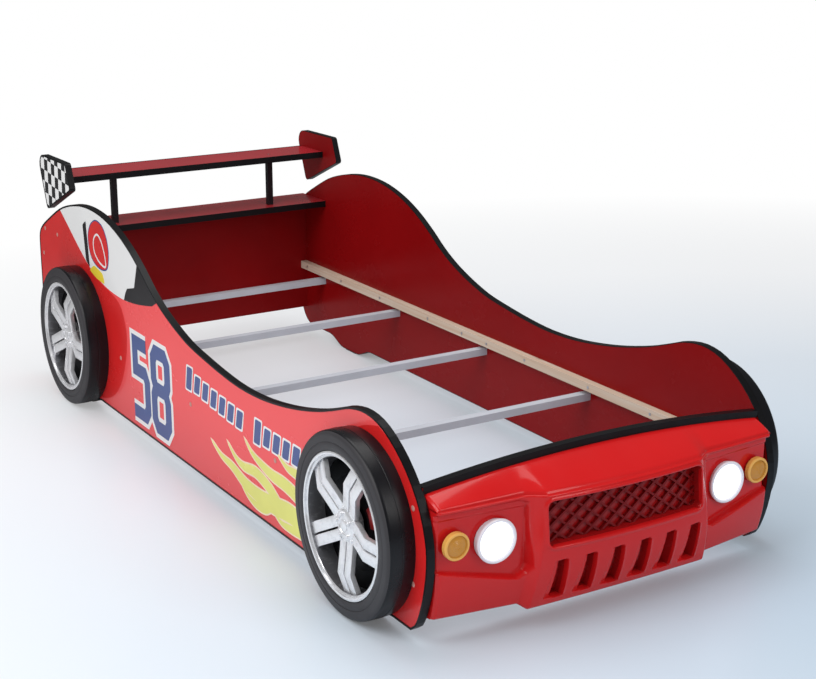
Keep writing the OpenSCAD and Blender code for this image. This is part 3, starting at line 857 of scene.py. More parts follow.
@dataclass
class PanelPrint:
    """The printed picture on the outside of a side panel, in thin layers of foil."""

    side: Side
    layer: float = 0.0002
    lip: float = 0.0032
    edge_angle: float = 20.0
    curve_steps: int = 4
    number_y: float = 0.320
    number_z: float = 0.188
    figure_spread: float = 0.074
    figure_w: float = 0.92
    figure_h: float = 1.12
    stripe_count: int = 13
    stripe_gap: int = 7

    def build(self) -> None:
        """Builds every layer of the picture."""
        self.outline = BoardOutline(f"side_panel_{self.side.tag}")
        self.base = self.outline.face_x - self.layer / 2
        self.flares()
        self.cockpit()
        self.number()
        self.stripes()
        self.flames()

    def add(
        self, name: str, outlines: Sequence[Sequence[Point]], finish: Gloss, level: int
    ) -> None:
        """Adds one layer of foil.

        Args:
            name: What the layer shows.
            outlines: The outlines on it, in metres.
            finish: The finish of the foil.
            level: The number of layers below it, and itself.
        """
        bm = bmesh.new()
        for outline in outlines:
            plate(bm, outline, self.side, self.base, self.layer * (level + 0.5))
        finish_piece(
            f"print_{name}_{self.side.tag}", bm, [finish], angle=self.edge_angle, weld=False)

    def flares(self) -> None:
        """The deeper red along the rear and the brighter red round the front wheel."""
        rear = smooth_curve(
            mm([(731, 36), (627, 67), (548, 127), (500, 210), (482, 290), (500, 345), (530, 378),
                (597, 396), (674, 410), (753, 436), (830, 475), (909, 522), (975, 576)]),
            self.curve_steps)
        loop = self.outline.inset(self.lip)
        first, last = nearest(loop, rear[-1]), nearest(loop, rear[0])
        count = len(loop)
        back = [loop[i % count] for i in range(first, last - (count if last > first else 0), -1)]
        self.add("rear_flare", [rear[1:-1] + back], RIM_RED, 1)
        top = self.outline.stretch((-0.952, 0.447), (-1.066, 0.036), self.lip)
        front = smooth_curve(
            mm([(-1000, 36), (-930, 120), (-850, 300), (-792, 390), (-828, 410), (-872, 430),
                (-905, 440), (-935, 447)]), self.curve_steps)
        self.add("front_flare", [front + top[1:]], RIM_RED, 1)

    def cockpit(self) -> None:
        """The white window with its dark quarter, pillar, seat and headrest."""
        sill = smooth_curve(
            mm([(987, 570), (909, 524), (830, 477), (753, 438), (674, 414), (597, 401), (489, 397),
                (380, 408), (262, 430)]), self.curve_steps)
        top = self.outline.stretch((0.987, 0.570), (0.240, 0.440), self.lip)
        self.add("window", [sill[1:-1] + top[::-1]], WHITE_PRINT, 2)
        quarter_sill = [q for q in sill[1:-1] if q[0] < 0.489]
        quarter_top = self.outline.stretch((0.384, 0.530), (0.240, 0.440), self.lip)
        border = mm([(489, 397), (476, 420), (462, 436), (408, 450)])
        self.add("quarter", [quarter_sill[1:] + quarter_top[::-1] + border[::-1]], BLACK_PRINT, 3)
        pillar = mm([(796, 560), (768, 576), (752, 437), (781, 453)])
        self.add("pillar", [rounded(pillar, 0.006)], BLACK_PRINT, 3)
        seat = mm([(686, 598), (630, 588), (598, 553), (588, 508), (604, 456), (668, 446), (731, 464),
                   (754, 498), (757, 538), (734, 574)])
        self.add("seat_edge", [rounded(seat, 0.05)], BLUE_PRINT, 4)
        inner = [(0.672 + (y - 0.672) * 0.95, 0.521 + (z - 0.521) * 0.95) for y, z in seat]
        self.add("seat", [rounded(inner, 0.05)], RIM_RED, 5)
        rest = mm([(680, 556), (712, 530), (710, 494), (674, 470), (614, 460), (622, 502), (648, 542)])
        bm = bmesh.new()
        band(bm, rounded(rest, 0.03), 0.006, self.side, self.base, self.layer * 6.5, closed=True)
        finish_piece(
            f"print_headrest_{self.side.tag}", bm, [WHITE_PRINT], angle=self.edge_angle)
        patch = mm([(716, 452), (756, 430), (700, 415), (634, 410), (648, 440)])
        self.add("patch", [rounded(patch, 0.012)], YELLOW_PRINT, 3)

    def number(self) -> None:
        """The start number in block figures with a wide white edge."""
        five = mm([(54, 92), (-34, 92), (-34, 20), (38, 20), (56, 0), (56, -74), (36, -94), (-56, -94)])
        eight = mm([(-32, 98), (32, 98), (52, 78), (52, 26), (36, 4), (52, -20), (52, -78), (32, -98),
                    (-32, -98), (-52, -78), (-52, -20), (-36, 4), (-52, 26), (-52, 78)])
        reading = self.side.value
        left_y = self.number_y - reading * self.figure_spread
        right_y = self.number_y + reading * self.figure_spread
        figures = []
        for figure, centre, closed in ((five, left_y, False), (eight, right_y, True)):
            path = [
                (centre + reading * a * self.figure_w, self.number_z + b * self.figure_h)
                for a, b in figure
            ]
            figures.append((path, closed))
        figures.append(([(right_y - 0.036, 0.192), (right_y + 0.036, 0.192)], False))
        for name, width, finish, level in (
            ("number_edge", 0.066, WHITE_PRINT, 2.5),
            ("number", 0.040, BLUE_PRINT, 3.5),
        ):
            bm = bmesh.new()
            for step, (path, closed) in enumerate(figures):
                height = self.layer * (level + 0.15 * step)
                band(bm, path, width, self.side, self.base, height, closed=closed)
            finish_piece(
                f"print_{name}_{self.side.tag}", bm, [finish], angle=self.edge_angle, weld=False)

    def stripes(self) -> None:
        """A row of slanted blue blocks with white edges, along the top of the panel."""
        blue, white = [], []
        for i in range(self.stripe_count):
            if i == self.stripe_gap:
                continue
            t = i / (self.stripe_count - 1)
            y = 0.048 - 0.604 * t
            z = 0.283 - 0.026 * t - 0.012 * math.sin(math.pi * t)
            half_h = 0.032 if i in (0, self.stripe_gap + 1) else 0.024
            lean = 0.006 * self.side.value
            for grow, store in ((0.0, blue), (0.005, white)):
                w, h = 0.0165 + grow, half_h + grow
                corners = [(y + w + lean, z + h), (y - w + lean, z + h), (y - w - lean, z - h),
                           (y + w - lean, z - h)]
                store.append(rounded(corners, 0.006, 3))
        self.add("stripe_edges", white, WHITE_PRINT, 2)
        self.add("stripes", blue, BLUE_PRINT, 3)

    def flames(self) -> None:
        """Flames that run back from the front wheel."""
        tongues = (
            ([(-660, 70), (-590, 92), (-520, 100), (-440, 92), (-360, 88), (-280, 96), (-205, 118),
              (-140, 128), (-84, 152)], 50),
            ([(-470, 100), (-410, 130), (-340, 146), (-270, 140), (-226, 150), (-182, 177)], 30),
            ([(-640, 110), (-580, 150), (-500, 166), (-430, 168), (-370, 178), (-320, 192), (-283, 216)],
             34),
            ([(-660, 66), (-590, 68), (-520, 62), (-468, 62), (-413, 86)], 24),
            ([(-430, 92), (-390, 66), (-340, 60), (-290, 70), (-247, 96)], 22),
            ([(-660, 150), (-610, 196), (-560, 212), (-510, 214), (-462, 232)], 30),
        )
        for name, grow, finish, level in (
            ("flame_edges", 0.0042, FLAME_EDGE, 2),
            ("flames", 0.0, FLAME_PRINT, 4),
        ):
            bm = bmesh.new()
            for step, (path, width) in enumerate(tongues):
                outline = tongue(mm(path), width * MM, grow)
                plate(bm, outline, self.side, self.base, self.layer * (level + 0.5 + 0.1 * step))
            finish_piece(
                f"print_{name}_{self.side.tag}", bm, [finish], angle=self.edge_angle, weld=False)


@dataclass
class EndPlatePrint:
    """The chequered foil on the outside of a wing end plate."""

    side: Side
    lip: float = 0.0030
    thickness: float = 0.0003

    def build(self) -> None:
        """Builds the foil."""
        outline = BoardOutline(f"wing_end_plate_{self.side.tag}")
        bm = bmesh.new()
        plate(bm, outline.inset(self.lip), self.side, outline.face_x - 0.0001, self.thickness)
        finish_piece(f"print_chequer_{self.side.tag}", bm, [CHEQUER], angle=20.0)


# ---------------------------------------------------------------- bumper


def soft_step(value: np.ndarray, low: float, high: float) -> np.ndarray:
    """Eases from 0 to 1 between two values."""
    t = np.clip((value - low) / (high - low), 0, 1)
    return t * t * (3 - 2 * t)


def outline_distance(x: np.ndarray, z: np.ndarray, outline: Sequence[Point]) -> np.ndarray:
    """Works out the distance of points to an outline, negative inside it.

    Args:
        x: The points' first coordinates.
        z: The points' second coordinates.
        outline: The closed outline.

    Returns:
        The distances.
    """
    best = np.full(x.shape, 1e9)
    inside = np.zeros(x.shape, bool)
    for (ax, az), (bx, bz) in zip(outline, list(outline[1:]) + [outline[0]]):
        ex, ez = bx - ax, bz - az
        t = np.clip(((x - ax) * ex + (z - az) * ez) / (ex * ex + ez * ez), 0, 1)
        best = np.minimum(best, np.hypot(x - ax - t * ex, z - az - t * ez))
        crosses = (az > z) != (bz > z)
        if ez:
            inside ^= crosses & (x < (bx - ax) * (z - az) / ez + ax)
    return np.where(inside, -best, best)


@dataclass
class Bumper:
    """The moulded nose: hood, central block, lamp bays, grille pocket and louvres.

    All sizes are in metres. A name that ends in _y, _z or _x is a place in the bed's frame, a
    sweep is how far a curve runs back along Y, and a power tells how late it does so.
    """

    half_w: float = 0.4585
    columns: int = 470
    hood_rows: int = 26
    face_rows: int = 134
    crease_z: float = 0.318
    margin: float = 0.001

    block_half: float = 0.214
    block_flare: float = 0.028
    block_drop: float = 0.26
    flank_in: float = 0.001
    flank_out: float = 0.021
    block_inset: float = 0.0032
    block_sweep: float = 0.055
    block_reach: float = 0.456
    block_power: float = 2.2

    crest_y: float = -1.1880
    crest_sweep: float = 0.011
    crest_reach: float = 0.21
    brow_y: float = -1.1520
    brow_sweep: float = 0.014
    brow_x: float = 0.2
    brow_w: float = 0.256
    brow_power: float = 1.5
    crest_fade: tuple[float, float] = (0.205, 0.258)

    face_y: float = -1.1660
    face_sweep: float = 0.031
    face_power: float = 1.3
    face_x: float = 0.22
    face_w: float = 0.236
    tuck_y: float = -1.1450
    tuck_sweep: float = 0.034
    chin_y: float = -1.1630
    chin_sweep: float = 0.004
    chin_reach: float = 0.24
    chin_rise: float = 0.011
    upper_z: float = 0.185
    lower_z: float = 0.178
    lower_power: float = 1.9

    bay_soft: float = 0.0035
    bay_floor_y: float = -1.1430
    bay_sweep: float = 0.020
    bay_x: float = 0.245
    bay_w: float = 0.207
    bay_step: float = 0.0030
    bay_step_z: tuple[float, float] = (0.288, 0.294)
    lamp_bore: float = 0.0465
    bore_edge: float = 0.003
    bore_depth: float = 0.030

    grille_x: float = 0.208
    grille_low: float = 0.203
    grille_high: float = 0.299
    grille_round: float = 0.014
    pocket_depth: float = 0.030
    pocket_soft: float = 0.0025
    lip_w: float = 0.006
    lip_flat: float = 0.001
    lip_height: float = 0.0028
    pocket_shade: float = 0.016

    slot_count: int = 6
    slot_pitch: float = 0.074
    slot_left: float = 0.008
    slot_lean: float = 0.019
    slot_right: float = 0.021
    slot_top: float = 0.167
    slot_height: float = 0.089
    slot_depth: float = 0.028
    slot_foot_z: tuple[float, float] = (0.074, 0.079)
    slot_head_z: tuple[float, float] = (0.163, 0.168)
    slot_wall: float = 0.002
    slot_shade: float = 0.012
    slot_zone: tuple[float, float, float] = (0.070, 0.172, 0.215)
    ridge_place: float = 0.003
    ridge_w: float = 0.005
    ridge_height: float = 0.0016

    hood_drop: float = 0.014
    hood_crown: float = 0.028
    hood_reach: float = 0.4615
    hood_power: float = 1.35
    hood_gap: float = 0.0015
    roll_size: float = 0.006
    roll_back: float = 0.0040
    roll_down: float = 0.0026
    end_w: float = 0.009
    end_back: float = 0.007
    end_down: float = 0.005

    lattice_pitch: float = 0.0435
    lattice_rise: float = 0.74
    lattice_spread: int = 7
    lattice_bar: float = 0.0048
    lattice_thick: tuple[float, float] = (0.006, 0.0045)
    lattice_lift: float = 0.0065

    def build(self) -> None:
        """Builds the moulding and the grille's lattice."""
        low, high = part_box("bumper_shell")
        self.back_y = high.y
        self.front_y = low.y
        self.low_z = low.z
        board_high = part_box("front_board")[1]
        self.arch_end = board_high.z - 0.028
        ring_low, ring_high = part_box("headlight_ring_left")
        self.lamp = ((ring_low.x + ring_high.x) / 2, (ring_low.z + ring_high.z) / 2)
        self.moulding()
        self.lattice()

    def in_block(self, x: np.ndarray, z: np.ndarray) -> np.ndarray:
        """Tells how far points are inside the central block.

        Args:
            x: The points' places across.
            z: The points' heights.

        Returns:
            1 inside, 0 outside, and between them on the block's flank.
        """
        fall = np.clip((self.crease_z - z) / self.block_drop, 0, 1)
        half = self.block_half + self.block_flare * fall
        return 1 - soft_step(np.abs(x), half - self.flank_in, half + self.flank_out)

    def crest(self, x: np.ndarray) -> np.ndarray:
        """Gives the place along Y of the crease between hood and face.

        Args:
            x: The points' places across.

        Returns:
            The places along Y.
        """
        side_x = np.abs(x)
        block = self.crest_y + self.crest_sweep * (x / self.crest_reach) ** 2
        out = np.clip((side_x - self.brow_x) / self.brow_w, 0, 1)
        outer = self.brow_y + self.brow_sweep * out**self.brow_power
        return outer + (block - outer) * (1 - soft_step(side_x, *self.crest_fade))

    def face(self, x: np.ndarray, z: np.ndarray) -> np.ndarray:
        """Gives the place along Y of the face below the crease, without pockets.

        Args:
            x: The points' places across.
            z: The points' heights.

        Returns:
            The places along Y.
        """
        side_x = np.abs(x)
        inside = self.in_block(x, z)
        out = np.clip((side_x - self.face_x) / self.face_w, 0, 1)
        bow = (side_x / self.block_reach) ** self.block_power
        block = self.front_y + self.block_inset + self.block_sweep * bow
        full = self.face_y + self.face_sweep * out**self.face_power
        full = full + (block - full) * inside
        tuck = self.tuck_y + self.tuck_sweep * out
        chin = self.chin_y + self.chin_sweep * (x / self.chin_reach) ** 2
        tuck = tuck + (chin - tuck) * inside
        upper = soft_step(z, self.upper_z, self.crease_z)
        lower = np.clip((self.lower_z - z) / (self.lower_z - self.low_z), 0, 1) ** self.lower_power
        return full + (self.crest(x) - full) * upper + (tuck - full) * lower

    def bay(self, x: np.ndarray, z: np.ndarray, y: np.ndarray) -> np.ndarray:
        """Draws the lamp bays and the lamp bores back into the face.

        Args:
            x: The points' places across.
            z: The points' heights.
            y: The face so far.

        Returns:
            The face with the bays.
        """
        side_x = np.abs(x)
        outline = mm([(470, 306), (262, 307), (245, 300), (242, 160), (252, 146), (272, 136),
                      (456, 180), (470, 183)])
        within = 1 - soft_step(outline_distance(side_x, z, outline), -self.bay_soft, self.bay_soft)
        floor = self.bay_floor_y + self.bay_sweep * (side_x - self.bay_x) / self.bay_w
        y = y + (np.maximum(floor, y) - y) * within
        step = soft_step(z, *self.bay_step_z) * self.bay_step
        y = y - step * within
        bore = np.hypot(side_x - self.lamp[0], z - self.lamp[1])
        hole = 1 - soft_step(bore, self.lamp_bore - self.bore_edge, self.lamp_bore)
        return y + hole * self.bore_depth

    def louvre(self, x: np.ndarray, z: np.ndarray, centre: float) -> tuple[np.ndarray, np.ndarray]:
        """Gives one slanting slot, which is deepest at its right-hand wall.

        Args:
            x: The points' places across.
            z: The points' heights.
            centre: The middle of the slot.

        Returns:
            The depths of the slot, and the heights of the ridge beside it.
        """
        lean = np.clip((self.slot_top - z) / self.slot_height, 0, 1)
        left = centre - self.slot_left - self.slot_lean * lean
        right = centre + self.slot_right
        across = np.clip((x - left) / (right - left), 0, 1)
        fall = 0.20 * soft_step(across, 0.0, 0.08) + 0.22 * across
        fall = fall + 0.58 * soft_step(across, 0.40, 0.62)
        wall = 1 - soft_step(x, right - self.slot_wall, right + self.slot_wall)
        ends = soft_step(z, *self.slot_foot_z) * (1 - soft_step(z, *self.slot_head_z))
        beside = np.abs(x - right - self.ridge_place)
        ridge = (1 - soft_step(beside, 0.0, self.ridge_w)) * ends
        return self.slot_depth * fall * wall * ends, self.ridge_height * ridge

    def pockets(self, x: np.ndarray, z: np.ndarray) -> np.ndarray:
        """Gives how far the grille pocket and the louvres are drawn back.

        Args:
            x: The points' places across.
            z: The points' heights.

        Returns:
            The depths, in metres.
        """
        grille = rounded(
            [(self.grille_x, self.grille_high), (-self.grille_x, self.grille_high),
             (-self.grille_x, self.grille_low), (self.grille_x, self.grille_low)],
            self.grille_round)
        gap = outline_distance(x, z, grille)
        depth = (1 - soft_step(gap, -self.pocket_soft, self.pocket_soft)) * self.pocket_depth
        lip = 1 - soft_step(np.abs(gap - self.lip_w), self.lip_flat, self.lip_w)
        depth = depth - lip * self.lip_height
        for number in range(self.slot_count):
            centre = (number - (self.slot_count - 1) / 2) * self.slot_pitch
            slot, ridge = self.louvre(x, z, centre)
            depth = depth + slot
            depth = depth - ridge
        return depth

    def hood_height(self, x: np.ndarray, t: np.ndarray) -> np.ndarray:
        """Gives the height of the hood.

        Args:
            x: The points' places across.
            t: The way from the rear edge, at 0, to the crease, at 1.

        Returns:
            The heights.
        """
        crown = self.hood_crown * (1 - (x / self.hood_reach) ** 2)
        rear = self.arch_end - self.hood_drop + crown
        return rear + (self.crease_z - rear) * t**self.hood_power

    def bend(self, verts: Sequence[bmesh.types.BMVert]) -> None:
        """Lays a flat square grid over the hood and down the face.

        Args:
            verts: The points of the grid.
        """
        u = np.array([v.co.x for v in verts]) + 0.5
        w = np.array([v.co.y for v in verts]) + 0.5
        x = (u * 2 - 1) * self.half_w
        split = self.hood_rows / (self.hood_rows + self.face_rows)
        on_hood = w < split
        t = np.clip(w / split, 0, 1)
        hood_y = self.back_y - self.hood_gap + (self.crest(x) - self.back_y + self.hood_gap) * t
        hood_z = self.hood_height(x, t)
        s = np.clip((w - split) / (1 - split), 0, 1)
        foot = self.in_block(x, np.full(x.shape, self.low_z))
        chin_z = self.low_z + 0.0005 + self.chin_rise * (1 - foot)
        face_z = self.crease_z - (self.crease_z - chin_z) * s
        face_y = self.bay(x, face_z, self.face(x, face_z)) + self.pockets(x, face_z)
        roll = np.clip(1 - (self.crease_z - face_z) / self.roll_size, 0, 1) ** 2
        chin = np.clip(1 - (face_z - chin_z) / self.roll_size, 0, 1) ** 2
        near = np.clip((t - 0.9) * 10, 0, 1)
        y = np.where(on_hood, hood_y, face_y)
        z = np.where(on_hood, hood_z, face_z)
        y = y + np.where(
            on_hood, self.roll_back * near, self.roll_back * roll + self.roll_back * chin)
        z = z - np.where(on_hood, self.roll_down * near**2, self.roll_down * roll)
        ends = soft_step(np.abs(x), self.half_w - self.end_w, self.half_w)
        y = y + ends**2 * self.end_back * (~on_hood)
        z = z - ends**2 * self.end_down * on_hood
        for vert, a, b, c in zip(verts, x, y, z):
            vert.co = (a, b, c)

    def darken(self, bm: bmesh.types.BMesh) -> None:
        """Gives the deep parts of the grille pocket and of the louvres a darker red, as painted shade.

        Args:
            bm: The bent grid.
        """
        limit = self.grille_x + self.margin
        bottom, top = self.grille_low - self.margin, self.grille_high + self.margin
        slot_low, slot_high, slot_x = self.slot_zone
        for face in bm.faces:
            spot = face.calc_center_median()
            in_grille = abs(spot.x) < limit and bottom < spot.z < top
            if in_grille and spot.y > self.front_y + self.pocket_shade:
                face.material_index = 1
            if not (slot_low < spot.z < slot_high and abs(spot.x) < slot_x):
                continue
            outside = float(self.face(*np.array([[spot.x], [spot.z]]))[0])
            if spot.y - outside > self.slot_shade:
                face.material_index = 1

    def moulding(self) -> None:
        """Builds the moulding from one fine grid, closed behind."""
        bm = bmesh.new()
        bmesh.ops.create_grid(
            bm, x_segments=self.columns, y_segments=self.hood_rows + self.face_rows, size=0.5)
        self.bend(list(bm.verts))
        self.darken(bm)
        rim = [e for e in bm.edges if e.is_boundary]
        wall = bmesh.ops.extrude_edge_only(bm, edges=rim)["geom"]
        for vert in (g for g in wall if isinstance(g, bmesh.types.BMVert)):
            vert.co.y = self.back_y
        back = [e for e in bm.edges if e.is_boundary]
        bmesh.ops.holes_fill(bm, edges=back, sides=0)
        finish_piece(
            "bumper_moulding", bm, [MOULDED_RED, MOULDED_RED_PAINTED_SHADE], stands_for=["bumper_shell"],
            angle=50.0)

    def lattice_bars(self, bm: bmesh.types.BMesh, middle_z: float, half_h: float) -> None:
        """Adds the crossed bars, longer than the pocket.

        Args:
            bm: The mesh.
            middle_z: The height of the pocket's middle.
            half_h: Half the height of the lattice.
        """
        reach = (half_h + 0.01) / self.lattice_rise
        slant = math.atan(self.lattice_rise)
        length = 2 * reach / math.cos(slant)
        for k in range(-self.lattice_spread, self.lattice_spread + 1):
            shift = k * self.lattice_pitch
            if shift + reach < -self.grille_x or shift - reach > self.grille_x:
                continue
            for sign, depth in zip((1, -1), self.lattice_thick):
                made = bmesh.ops.create_cube(bm, size=1.0)["verts"]
                turn = Matrix.Rotation(-sign * slant, 4, "Y")
                bmesh.ops.scale(bm, verts=made, vec=(length, depth, self.lattice_bar))
                bmesh.ops.rotate(bm, verts=made, matrix=turn, cent=(0, 0, 0))
                bmesh.ops.translate(bm, verts=made, vec=(shift, 0, middle_z))

    def lattice(self) -> None:
        """Builds the lattice in the grille pocket: crossed bars, cut to the opening."""
        bm = bmesh.new()
        middle_z = (self.grille_low + self.grille_high) / 2
        half_h = (self.grille_high - self.grille_low) / 2 + 0.002
        self.lattice_bars(bm, middle_z, half_h)
        limit = self.grille_x + self.margin
        planes = (
            ((limit, 0, 0), (1, 0, 0)),
            ((-limit, 0, 0), (-1, 0, 0)),
            ((0, 0, middle_z + half_h), (0, 0, 1)),
            ((0, 0, middle_z - half_h), (0, 0, -1)),
        )
        for spot, out in planes:
            geom = bm.verts[:] + bm.edges[:] + bm.faces[:]
            cut = bmesh.ops.bisect_plane(
                bm, geom=geom, plane_co=spot, plane_no=out, clear_outer=True)
            rims = [e for e in cut["geom_cut"] if isinstance(e, bmesh.types.BMEdge)]
            bmesh.ops.holes_fill(bm, edges=rims, sides=8)
        for vert in bm.verts:
            place = self.face(np.array([vert.co.x]), np.array([vert.co.z]))
            vert.co.y += float(place[0]) + self.pocket_depth - self.lattice_lift
        finish_piece("grille_lattice", bm, [LATTICE], stands_for=["grille_mesh"], angle=30.0)


# ---------------------------------------------------------------- lamps


def round_part(node: str) -> tuple[Vector, float]:
    """Gives the place of a round part that looks forward.

    Args:
        node: The part's node.

    Returns:
        The middle of its front, and its radius.
    """
    low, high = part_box(node)
    centre = Vector(((low.x + high.x) / 2, low.y, (low.z + high.z) / 2))
    return centre, (high.x - low.x) / 2


@dataclass
class Headlight:
    """One push-on headlight: the fixed ring and the lens that moves."""

    side: Side
    ring_w: float = 0.0068
    lens_skirt: float = 0.0028
    ribs: int = 12
    rib_w: float = 0.0014
    rib_height: float = 0.0004
    dome: float = 0.0062
    dome_power: float = 2.4
    steps: int = 72

    def build(self) -> None:
        """Builds the ring and the lens."""
        node = f"headlight_ring_{self.side.tag}"
        centre, reach = round_part(node)
        bm = bmesh.new()
        inner = reach - self.ring_w
        profile = [
            (inner, 0.019), (inner, 0.003), (inner + 0.0010, 0.0008), (inner + 0.003, 0.0),
            (inner + 0.0052, 0.0008), (reach, 0.0030), (reach, 0.0045), (inner + 0.0040, 0.0050),
            (inner + 0.0040, 0.019), (inner, 0.019),
        ]
        lathe(bm, profile, centre, Vector((0, 1, 0)), steps=self.steps)
        finish_piece(f"lamp_ring_{self.side.tag}", bm, [RING], stands_for=[node], angle=50.0)
        self.lens()

    def lens(self) -> None:
        """Builds the domed lens with its rings of fine ribs."""
        node = f"headlight_lens_{self.side.tag}"
        centre, outer = round_part(node)
        reach = outer - self.lens_skirt
        profile: list[Point] = [(0.0, self.rib_height)]
        for i in range(1, self.ribs + 1):
            r = reach * i / self.ribs
            sag = self.rib_height + self.dome * (r / reach) ** self.dome_power
            profile += [(r - self.rib_w, sag), (r, sag + self.rib_height)]
        profile += [(reach, 0.0213), (reach + 0.0026, 0.0213), (reach + 0.0026, 0.0233),
                    (reach - 0.003, 0.0233), (reach - 0.003, 0.0085), (0.0040, 0.0065),
                    (0.0040, 0.0285), (0.0, 0.0285)]
        bm = bmesh.new()
        lathe(bm, profile, centre, Vector((0, 1, 0)), steps=self.steps)
        finish_piece(
            f"lamp_lens_{self.side.tag}", bm, [LENS], body=f"headlight_{self.side.tag}",
            stands_for=[node], angle=25.0)


@dataclass
class Indicator:
    """One amber indicator with a stepped rim and a ribbed dome."""

    side: Side
    rim_w: float = 0.0065
    ribs: int = 7
    rib_w: float = 0.0016
    front: float = 0.0005
    sag: float = 0.004
    steps: int = 56

    def build(self) -> None:
        """Builds the lens."""
        node = f"indicator_lens_{self.side.tag}"
        centre, reach = round_part(node)
        dome = reach - self.rim_w
        profile: list[Point] = [(0.0, self.front)]
        numbers = []
        for i in range(1, self.ribs + 1):
            r = dome * i / self.ribs
            sag = self.front + self.sag * (r / dome) ** 2
            profile += [(r - self.rib_w, sag + 0.0001), (r, sag + 0.0009)]
            numbers += [0, 0]
        profile += [(dome + 0.0008, 0.0015), (reach - 0.002, 0.0018), (reach, 0.0040),
                    (reach, 0.014), (dome, 0.014), (dome, 0.021), (0.0, 0.021)]
        numbers += [1, 1, 1, 1, 1, 0, 0]
        bm = bmesh.new()
        lathe(bm, profile, centre, Vector((0, 1, 0)), numbers, steps=self.steps)
        finish_piece(
            f"indicator_{self.side.tag}", bm, [AMBER, AMBER_RING], stands_for=[node], angle=25.0)


# ---------------------------------------------------------------- wheels


